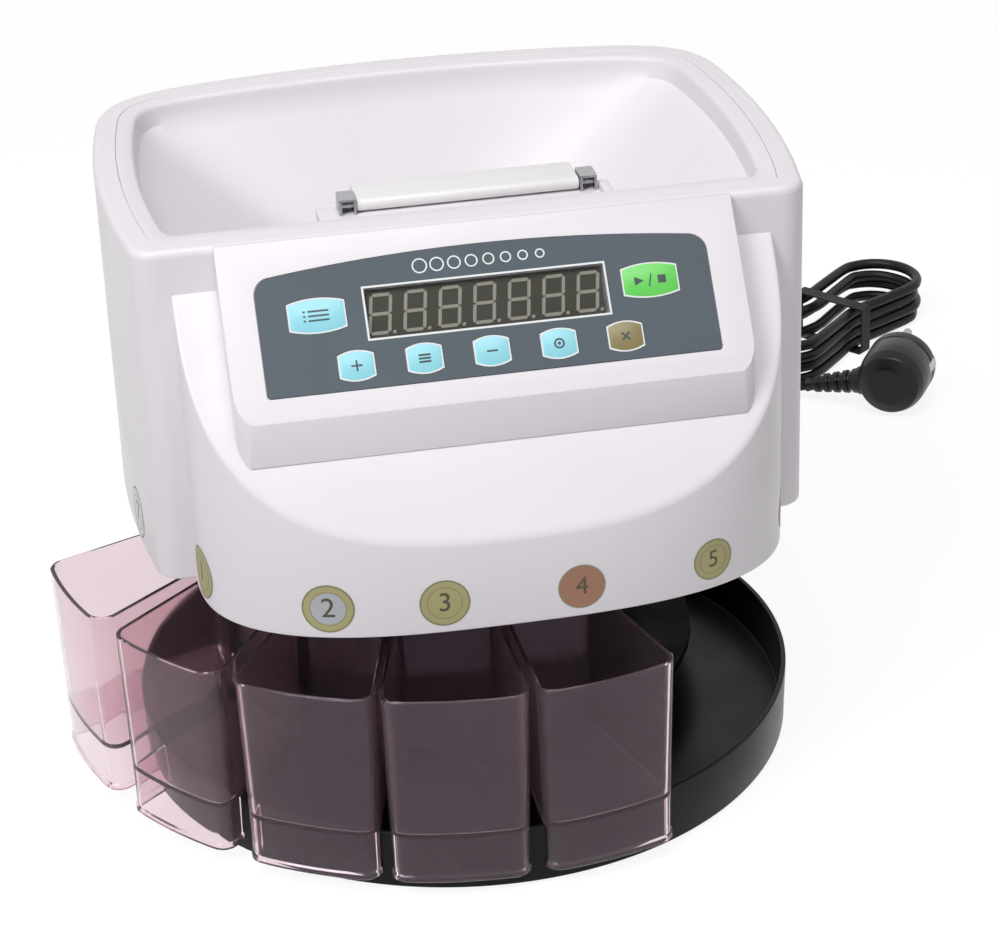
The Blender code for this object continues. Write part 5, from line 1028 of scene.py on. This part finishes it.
def carved(mesh, steps):
    """The mesh after modifiers: a bevel of a width, or a Boolean with another mesh."""
    holder = bpy.data.objects.new("holder", mesh)
    bpy.context.scene.collection.objects.link(holder)
    tools = []
    for kind, what in steps:
        if kind == "BEVEL":
            soften(holder, what, 3)
            continue
        tool = bpy.data.objects.new("tool", what)
        bpy.context.scene.collection.objects.link(tool)
        tools.append(tool)
        step = holder.modifiers.new("carve", "BOOLEAN")
        step.operation = kind
        step.object = tool
        step.solver = "EXACT"
    bpy.context.view_layer.update()
    made = bpy.data.meshes.new_from_object(holder.evaluated_get(bpy.context.evaluated_depsgraph_get()))
    for item in tools + [holder]:
        bpy.data.objects.remove(item, do_unlink=True)
    return shade(made)


def machine_point(along, out):
    c, s = cos(INCLINE_ANGLE), sin(INCLINE_ANGLE)
    return BODY_FRONT + along * c - out * s, INCLINE_TOP + along * s + out * c


def on_panel(mesh):
    mesh.transform(Matrix.Translation((0, BODY_FRONT, INCLINE_TOP)) @ Matrix.Rotation(INCLINE_ANGLE, 4, "X"))
    return mesh


def fillet(corners, segments=8):
    """Round the corners of an outline, given as (x, y, radius)."""
    count = len(corners)
    rounded = []
    for i in range(count):
        x, y, radius = corners[i]
        here = Vector((x, y))
        if radius == 0:
            rounded.append((x, y))
            continue
        to_last = (Vector(corners[i - 1][:2]) - here).normalized()
        to_next = (Vector(corners[(i + 1) % count][:2]) - here).normalized()
        half = acos(max(-1, min(1, to_last.dot(to_next)))) / 2
        centre = here + (to_last + to_next).normalized() * radius / sin(half)
        start = here + to_last * radius / tan(half) - centre
        end = here + to_next * radius / tan(half) - centre
        turn = atan2(start.x * end.y - start.y * end.x, start.dot(end))
        for k in range(segments + 1):
            spoke = Matrix.Rotation(turn * k / segments, 2) @ start
            rounded.append((centre.x + spoke.x, centre.y + spoke.y))
    return rounded


def barrel(width, height, arch, grow=0.0, steps=12):
    """A key's outline: straight sides, with a bowed top and bottom."""
    half_width, side = width / 2 + grow, height / 2 + grow - arch
    shares = [1 - 2 * k / steps for k in range(steps + 1)]
    return [(sign * half_width * share, sign * (side + arch * (1 - share * share))) for sign in (1, -1)
            for share in shares]


def moved(outline, x, y):
    return [(px + x, py + y) for px, py in outline]


def keys():
    """Every key: its node, place on the slab, size, finish and sign."""
    signs = key_signs()
    made = [("key_summary", LEFT_LARGE_KEY_X, LARGE_KEY_ROW, LARGE_KEY_SIZE, "key_blue", signs["list"]),
            ("key_start", RIGHT_LARGE_KEY_X, LARGE_KEY_ROW, LARGE_KEY_SIZE, "key_green", signs["run"])]
    small = [("key_plus", "key_blue", "plus"), ("key_batch", "key_blue", "stack"),
             ("key_minus", "key_blue", "minus"), ("key_store", "key_blue", "ring"),
             ("key_clear", "key_olive", "cross")]
    for k, (name, finish, sign) in enumerate(small):
        x = KEY_ROW_MIDDLE + KEY_PITCH * (k - (len(small) - 1) / 2)
        made.append((name, x, KEY_ROW, SMALL_KEY_SIZE, finish, signs[sign]))
    return made


def key_signs():
    """The keys' signs, as outlines about each key's middle."""
    size, line, rows = SIGN_SIZE, SIGN_LINE, (-1, 0, 1)
    a, b, small, pitch = size / 2, line / 2, size * 0.85, line * 2.6
    plus = [(-a, -b), (-b, -b), (-b, -a), (b, -a), (b, -b), (a, -b),
            (a, b), (b, b), (b, a), (-b, a), (-b, b), (-a, b)]
    triangle = [(-small / 2, -small / 2), (small / 2, 0), (-small / 2, small / 2)]
    marks = [bar(line * 1.3, line, -size * 1.15, pitch * k) for k in rows]
    return {
        "plus": [plus], "minus": [bar(size, line)], "cross": [turned_flat(plus, pi / 4)],
        "stack": [bar(size * 1.1, line * 1.1, 0, line * 1.9 * k) for k in rows],
        "ring": [dot(a), dot(a - line), dot(line * 0.9)],
        "list": marks + [bar(size * 1.9, line, size * 0.15, pitch * k) for k in rows],
        "run": [moved(triangle, -size * 1.05, 0), turned_flat(bar(line * 0.7, size * 1.3), -pi / 12),
                bar(small * 0.9, small * 0.9, size * 1.1, 0)]}


def bar(width, height, x=0.0, y=0.0):
    w, h = width / 2, height / 2
    return [(x - w, y - h), (x + w, y - h), (x + w, y + h), (x - w, y + h)]


def dot(radius, x=0.0, y=0.0, steps=24):
    return arc(x, y, radius, 0, 2 * pi, steps)[:-1]


def turned_flat(outline, angle):
    c, s = cos(angle), sin(angle)
    return [(x * c - y * s, x * s + y * c) for x, y in outline]


def overlay_outline(grow=0.0):
    half, low, high = OVERLAY_HALF_WIDTH + grow, OVERLAY_LOW - grow, OVERLAY_SIDE_TOP + grow
    steps = 24
    shares = [1 - 2 * k / steps for k in range(1, steps)]
    arch = [(half * share, high + OVERLAY_ARCH * (1 - share * share), 0) for share in shares]
    base = [(-half, low, OVERLAY_LOW_CORNER), (half, low, OVERLAY_LOW_CORNER)]
    return fillet(base + [(half, high, OVERLAY_CORNER)] + arch + [(-half, high, OVERLAY_CORNER)])


def window_hole(grow):
    return bar((DISPLAY_HALF_WIDTH + grow) * 2, DISPLAY_HIGH - DISPLAY_LOW + grow * 2, 0, DISPLAY_MIDDLE)


def prism(outline, low, high):
    return lofted("prism", [ring_at(outline, low), ring_at(outline, high)])


def slab_section():
    """The keypad slab seen from its end, in (y, z): it laps the housing's front shoulder."""
    points = [machine_point(SLAB_FOOT_LOW, GAP), (BODY_FRONT - GAP, INCLINE_TOP)]
    start = RIM_HEIGHT - SHOULDER_HEIGHT
    for share in SHOULDER_CLIMB_SHARES:
        angle = pi / 2 * share
        y = BODY_FRONT + SHOULDER_INSET * (1 - cos(angle)) - GAP * cos(angle)
        points.append((y - GAP, start + SHOULDER_HEIGHT * sin(angle) + GAP * sin(angle)))
    points.append((points[-1][0], RIM_HEIGHT))
    slab_high = (RIM_HEIGHT - INCLINE_TOP - SLAB_THICKNESS * cos(INCLINE_ANGLE)) / sin(INCLINE_ANGLE)
    return points + [machine_point(slab_high, SLAB_THICKNESS), machine_point(SLAB_LOW, SLAB_THICKNESS)]


def make_bezel():
    """The keypad slab, trimmed to its plan, with a recess for the film and a window for the display."""
    slab = across_mesh("slab", slab_section(), -SLAB_HALF_WIDTH, SLAB_HALF_WIDTH)
    front, root = machine_point(SLAB_LOW, SLAB_THICKNESS)[0] - GAP, BODY_FRONT + FRONT_CORNER
    low_half, high_half = SLAB_HALF_WIDTH - SLAB_TAPER, SLAB_HALF_WIDTH - GAP
    outline = fillet([(-low_half, front, SLAB_CORNER), (low_half, front, SLAB_CORNER), (high_half, root, 0),
                      (-high_half, root, 0)])
    top = SLAB_THICKNESS + WALL
    recess = prism(overlay_outline(GAP), SLAB_THICKNESS + OVERLAY_PROUD - OVERLAY_THICKNESS - GAP, top)
    window = prism(window_hole(GAP), SLAB_THICKNESS - SLAB_WALL * 2, top)
    slab = carved(slab, [("INTERSECT", prism(outline, BODY_BOTTOM, RIM_HEIGHT + WALL)), ("BEVEL", SLAB_EDGE),
                         ("DIFFERENCE", on_panel(recess)), ("DIFFERENCE", on_panel(window))])
    add_piece("keypad_slab", [(slab, "shell")], stands_for=["panel_bezel"])


def make_overlay():
    """The printed film, with a line round the display and a row of rings of falling size for a title."""
    top = SLAB_THICKNESS + OVERLAY_PROUD
    holes = [moved(barrel(*size, KEY_ARCH, GAP / 2), x, y) for _, x, y, size, _, _ in keys()]
    rings = []
    for k in range(TITLE_RINGS):
        share = k / (TITLE_RINGS - 1)
        x = TITLE_LEFT + (TITLE_RIGHT - TITLE_LEFT) * share
        radius = TITLE_LARGEST + (TITLE_SMALLEST - TITLE_LARGEST) * share
        rings += [dot(radius, x, TITLE_ROW, 40), dot(radius - SIGN_LINE * 0.8, x, TITLE_ROW, 40)]
    holes.append(window_hole(GAP / 2))
    parts = [(flat_mesh("film", [overlay_outline()] + holes, top - OVERLAY_THICKNESS, top), "overlay")]
    parts += [(flat_mesh("print", outlines, top - GAP, top + PRINT), "white_print")
              for outlines in ([window_hole(WINDOW_LINE), window_hole(GAP)], rings)]
    add_piece("printed_film", [(on_panel(mesh), finish) for mesh, finish in parts],
              stands_for=["panel_overlay"])


def make_key(name, x, y, size, finish, sign):
    """A key: its white border, its coloured cap, and the sign on it."""
    top = SLAB_THICKNESS + OVERLAY_PROUD + KEY_PROUD
    parts = []
    for margin, edge, drop, fall, ink in ((0, KEY_BORDER_EDGE, GAP, GAP / 2, "white_print"),
                                          (KEY_BORDER, KEY_CAP_EDGE, GAP * 0.5, GAP * 0.2, finish)):
        outline = barrel(size[0] - margin * 2, size[1] - margin * 2, KEY_ARCH)
        rings = [ring_at(outline, KEY_BOTTOM), ring_at(outline, top - drop),
                 ring_at(inset_plain(outline, edge), top - fall)]
        parts.append((lofted("cap", rings), ink))
    parts.append((flat_mesh("sign", sign, top - GAP, top), "dark_print"))
    for mesh, _ in parts:
        mesh.transform(Matrix.Translation((x, y, 0)))
    add_piece(name + "_cap", [(on_panel(mesh), ink) for mesh, ink in parts], name, [name])


def inset_plain(outline, amount):
    """Shrink a small outline about the origin."""
    widest = max(abs(x) for x, _ in outline)
    highest = max(abs(y) for _, y in outline)
    return [(x * (1 - amount / widest), y * (1 - amount / highest)) for x, y in outline]


def segment_outline(length, width):
    """One segment of a digit, lying along X with pointed ends."""
    a, b = length / 2, width / 2
    return [(-a, 0), (-a + b, -b), (a - b, -b), (a, 0), (a - b, b), (-a + b, b)]


def digit_outlines(x, y):
    """A digit's seven segments and its point, leaning to the right."""
    half_width, half_height = DIGIT_WIDTH / 2, DIGIT_HEIGHT / 2
    long, short = half_height - SEGMENT_LINE * 0.16, DIGIT_WIDTH - SEGMENT_LINE * 0.32
    level = segment_outline(short, SEGMENT_LINE)
    upright = turned_flat(segment_outline(long, SEGMENT_LINE), pi / 2)
    outlines = [moved(level, 0, h) for h in (-half_height, 0, half_height)]
    outlines += [moved(upright, side * half_width, up * half_height / 2)
                 for side in (-1, 1) for up in (-1, 1)]
    outlines.append(dot(SEGMENT_LINE * 0.55, half_width + SEGMENT_LINE * 1.5, -half_height, 12))
    return [[(px + py * DIGIT_LEAN + x, py + y) for px, py in outline] for outline in outlines]


def make_display():
    """The module behind the window, with seven unlit digits, and the window itself."""
    top = SLAB_THICKNESS + OVERLAY_PROUD
    face = top - LENS_THICKNESS - GAP
    module = prism(window_hole(-MODULE_MARGIN / 2), face - WALL, face - PRINT)
    outlines = []
    for k in range(DIGITS):
        outlines += digit_outlines(DIGIT_PITCH * (k - (DIGITS - 1) / 2) - SEGMENT_LINE / 2, DISPLAY_MIDDLE)
    digits = flat_mesh("digits", outlines, face - PRINT * 2, face)
    add_piece("digit_module", [(on_panel(module), "module"), (on_panel(digits), "segment")],
              stands_for=["display_module"])
    pane = fillet([(*p, PANE_CORNER) for p in moved(window_hole(-GAP / 2), 0, -DISPLAY_MIDDLE)], 3)
    rings = [ring_at(moved(outline, 0, DISPLAY_MIDDLE), z) for outline, z in (
        (pane, top - LENS_THICKNESS), (pane, top - GAP / 2), (inset_plain(pane, GAP / 2), top))]
    add_piece("window_pane", [(on_panel(lofted("pane", rings)), "lens")],
              stands_for=["display_window"])


def make_flap():
    """The bar over the hopper's front edge, rounded about its hinge."""
    radius = FLAP_THICKNESS / 2
    outline = arc(FLAP_REACH - radius, 0, radius, -pi / 2, pi, 8) + arc(0, 0, radius, pi / 2, pi, 8)
    mesh = carved(across_mesh("bar", outline, FLAP_LEFT, FLAP_RIGHT), [("BEVEL", FLAP_BEVEL)])
    mesh.transform(Matrix.Translation((0, FLAP_AXIS_Y, FLAP_AXIS_Z)))
    add_piece("flap_bar", [(mesh, "flap")], "coin_flap", ["coin_flap"])


def ring_point(azimuth, radius):
    """A point about the machine's axis; azimuth 0 is straight to the front, and grows to the right."""
    return radius * sin(azimuth), AXIS_Y - radius * cos(azimuth)


def toward_aim(corner):
    """Where the line from a front corner to the point that all boxes aim at meets the inner ring."""
    start = Vector((corner[0], corner[1] - AXIS_Y))
    aim = (Vector((0, BOX_AIM_Y - AXIS_Y)) - start).normalized()
    along = -start.dot(aim)
    reach = along - sqrt(BOX_INNER_RING ** 2 - (start.length_squared - along ** 2))
    point = start + aim * reach
    return point.x, point.y + AXIS_Y


def box_outline(azimuth):
    """A coin box's plan at its top: a bowed front, and sides that draw together behind it."""
    half_angle, steps = asin(BOX_WIDTH / 2 / BOX_RING), 24
    clear = half_angle * BOX_BOW_SHARE
    ends = [(*ring_point(azimuth + turn, BOX_RING), BOX_CORNER) for turn in (-half_angle, half_angle)]
    bow = [(*ring_point(azimuth - clear + 2 * clear * k / steps, BOX_RING), 0) for k in range(steps + 1)]
    back = [(*toward_aim(corner), BOX_INNER_CORNER) for corner in reversed(ends)]
    return fillet([ends[0]] + bow + [ends[1]] + back, 10)


def wall_rings(low, low_z, high, high_z):
    """A tall wall's rings, with one close to each end, so that the wall between them is shaded as flat."""
    start, end = ring_at(low, low_z), ring_at(high, high_z)
    return [between(start, end, share) for share in (0, 0.012, 0.988, 1)]


def make_coin_box(name, azimuth):
    """A smoked box: thin walls, a floor at the tray's rim, and a skirt outside it with a foot."""
    outline = box_outline(azimuth)
    foot_top, underside = BOX_SKIRT_BOTTOM + BOX_FOOT_HEIGHT, TRAY_HEIGHT + GAP
    low, foot = inset(outline, BOX_DRAFT), inset(outline, BOX_DRAFT - BOX_FOOT_PROUD)
    rings = [ring_at(inset(foot, BOX_LIP), BOX_SKIRT_BOTTOM), ring_at(foot, BOX_SKIRT_BOTTOM + BOX_LIP),
             ring_at(foot, foot_top)]
    rings += wall_rings(low, foot_top + BOX_FOOT_PROUD, outline, BOX_TOP - BOX_LIP)
    box = lofted("box", rings + [ring_at(inset(outline, BOX_LIP), BOX_TOP)])
    inner_low, inner_high = inset(outline, BOX_DRAFT + BOX_WALL), inset(outline, BOX_WALL)
    mouth, bottom = inset(outline, BOX_WALL - BOX_LIP), underside + BOX_FLOOR
    rings = [ring_at(inset(inner_low, BOX_FLOOR_FILLET * (1 - s)), bottom + BOX_FLOOR_FILLET * (1 - c))
             for c, s in arc(0, 0, 1, 0, pi / 2, 5)[:-1]]
    rings += wall_rings(inner_low, bottom + BOX_FLOOR_FILLET, inner_high, BOX_TOP - BOX_LIP)
    room = lofted("room", rings + [ring_at(mouth, BOX_TOP), ring_at(mouth, BOX_TOP + WALL)])
    under = prism(inner_low, BOX_SKIRT_BOTTOM - WALL, underside)
    reach = TRAY_RADIUS + BOX_SKIRT_CLEARANCE
    clearance = turned("clearance", [(GAP, -WALL), (reach, -WALL), (reach, underside), (GAP, underside)], 160)
    clearance.transform(Matrix.Translation((0, TRAY_CENTRE_Y, 0)))
    walls = carved(box, [("DIFFERENCE", tool) for tool in (room, under, clearance)])
    add_piece(name + "_walls", [(walls, "smoke")], name, [name])


def make_tray():
    """The round tray, with a rolled rim and a fine step inside its wall."""
    wall_in, foot_out = TRAY_RADIUS - TRAY_WALL, TRAY_RADIUS - TRAY_DRAFT
    foot_in = foot_out - TRAY_WALL * 1.5
    profile = [
        (GAP, TRAY_UNDERSIDE), (foot_in, TRAY_UNDERSIDE), (foot_in, TRAY_SKIRT_BOTTOM),
        (foot_out, TRAY_SKIRT_BOTTOM), (TRAY_RADIUS, TRAY_HEIGHT), (wall_in, TRAY_HEIGHT),
        (wall_in - TRAY_DRAFT, TRAY_FLOOR), (GAP, TRAY_FLOOR)]
    mesh = turned("tray", rounded_profile(profile, TRAY_LIP), 180)
    mesh.transform(Matrix.Translation((0, TRAY_CENTRE_Y, 0)))
    add_piece("round_tray", [(mesh, "black")], stands_for=["base_tray"])


def along_bow():
    """Points on the apron's front with their distance from its middle."""
    bow = apron_bow(480)
    lengths = [0.0]
    for a, b in zip(bow, bow[1:]):
        lengths.append(lengths[-1] + hypot(b[0] - a[0], b[1] - a[1]))
    return bow, [length - lengths[-1] / 2 for length in lengths]


BOW, BOW_LENGTHS = along_bow()


def bow_point(distance, out):
    """The point of the apron's front at a distance to the right of its middle, moved outwards."""
    i = 0
    while i < len(BOW) - 2 and BOW_LENGTHS[i + 1] < distance:
        i += 1
    a, b = Vector(BOW[i]), Vector(BOW[i + 1])
    share = (distance - BOW_LENGTHS[i]) / (BOW_LENGTHS[i + 1] - BOW_LENGTHS[i])
    along = (b - a).normalized()
    point = a.lerp(b, share) + Vector((along.y, -along.x)) * out
    return point.x, point.y


def wrap(mesh, wall, start, height, way=1):
    """Lay a flat mesh on an upright curved wall, from a place along it and to a side of that place."""
    for vertex in mesh.vertices:
        x, y = wall(start + way * vertex.co.x, vertex.co.z)
        vertex.co = (x, y, height + vertex.co.y)
    return mesh


def disc_mesh(name, inner, outer, low, high, steps=48, bands=5):
    """A flat ring or disc in rings of quads, so that it can follow a curved wall."""
    radii = [outer + (inner - outer) * b / bands for b in range(bands + 1)]
    rings = [ring_at(dot(r, steps=steps), high) for r in radii]
    rings += [ring_at(dot(r, steps=steps), low) for r in reversed(radii)]
    return lofted(name, rings, looped=True)


def number_mesh(number, size, low, high):
    text = bpy.data.curves.new("number", "FONT")
    text.body = str(number)
    text.size = size
    text.align_x = "CENTER"
    text.align_y = "CENTER"
    text.extrude = (high - low) / 2
    mesh = curve_mesh("number", text, (low + high) / 2)
    work = bmesh.new()
    work.from_mesh(mesh)
    bmesh.ops.triangulate(work, faces=work.faces)
    bmesh.ops.subdivide_edges(work, edges=[e for e in work.edges if e.calc_length() > size / 12], cuts=2)
    bmesh.ops.triangulate(work, faces=work.faces)
    work.to_mesh(mesh)
    work.free()
    return mesh


def make_stickers():
    """Printed discs on the apron and the housing's sides: plain numbers in coin colours."""
    parts = []
    for number, (distance, diameter, centre, ring) in enumerate(STICKERS, 1):
        parts += sticker(number, diameter / 2, centre, ring, bow_point, distance)
    for number, (side, middle, colour) in enumerate(SIDE_STICKERS, len(STICKERS) + 1):
        parts += sticker(number, STICKERS[0][1] / 2, colour, colour,
                         lambda y, out: (side * (side_x(y) + out), y), middle, side)
    add_piece("number_stickers", parts)


def sticker(number, radius, centre, ring, wall, start, way=1):
    """A disc's layers, laid on a wall: its rim, ring, centre, fine line and number."""
    film, middle, edge = STICKER_FILM, radius * STICKER_CENTRE_SHARE, radius * STICKER_RING_SHARE
    layers = [
        (disc_mesh("rim", edge, radius, -film, film, bands=1), "sticker_edge"),
        (disc_mesh("ring", middle, edge, -film, film * 0.9, bands=2), ring),
        (disc_mesh("centre", GAP, middle, -film, film * 0.9), centre),
        (disc_mesh("line", middle - GAP, middle, film / 2, film * 1.2, bands=1), "sticker_edge"),
        (number_mesh(number, radius * STICKER_NUMBER_SHARE, film / 2, film * 1.3), "sticker_ink")]
    return [(wrap(mesh, wall, start, BODY_BOTTOM + STICKER_HEIGHT, way), finish) for mesh, finish in layers]


make_camera()
make_light()
make_floor()
make_inner_works()
make_housing()
make_liner()
make_bezel()
make_overlay()
make_display()
make_flap()
for key in keys():
    make_key(*key)
for number, azimuth in enumerate(BOX_AZIMUTHS, 1):
    make_coin_box("coin_box_%d" % number, azimuth)
make_tray()
make_stickers()
cord, cord_exit = make_cord()
make_boot()
plug, clips = make_plug()
strap = make_tie()

bpy.context.scene.view_settings.view_transform = "Standard"
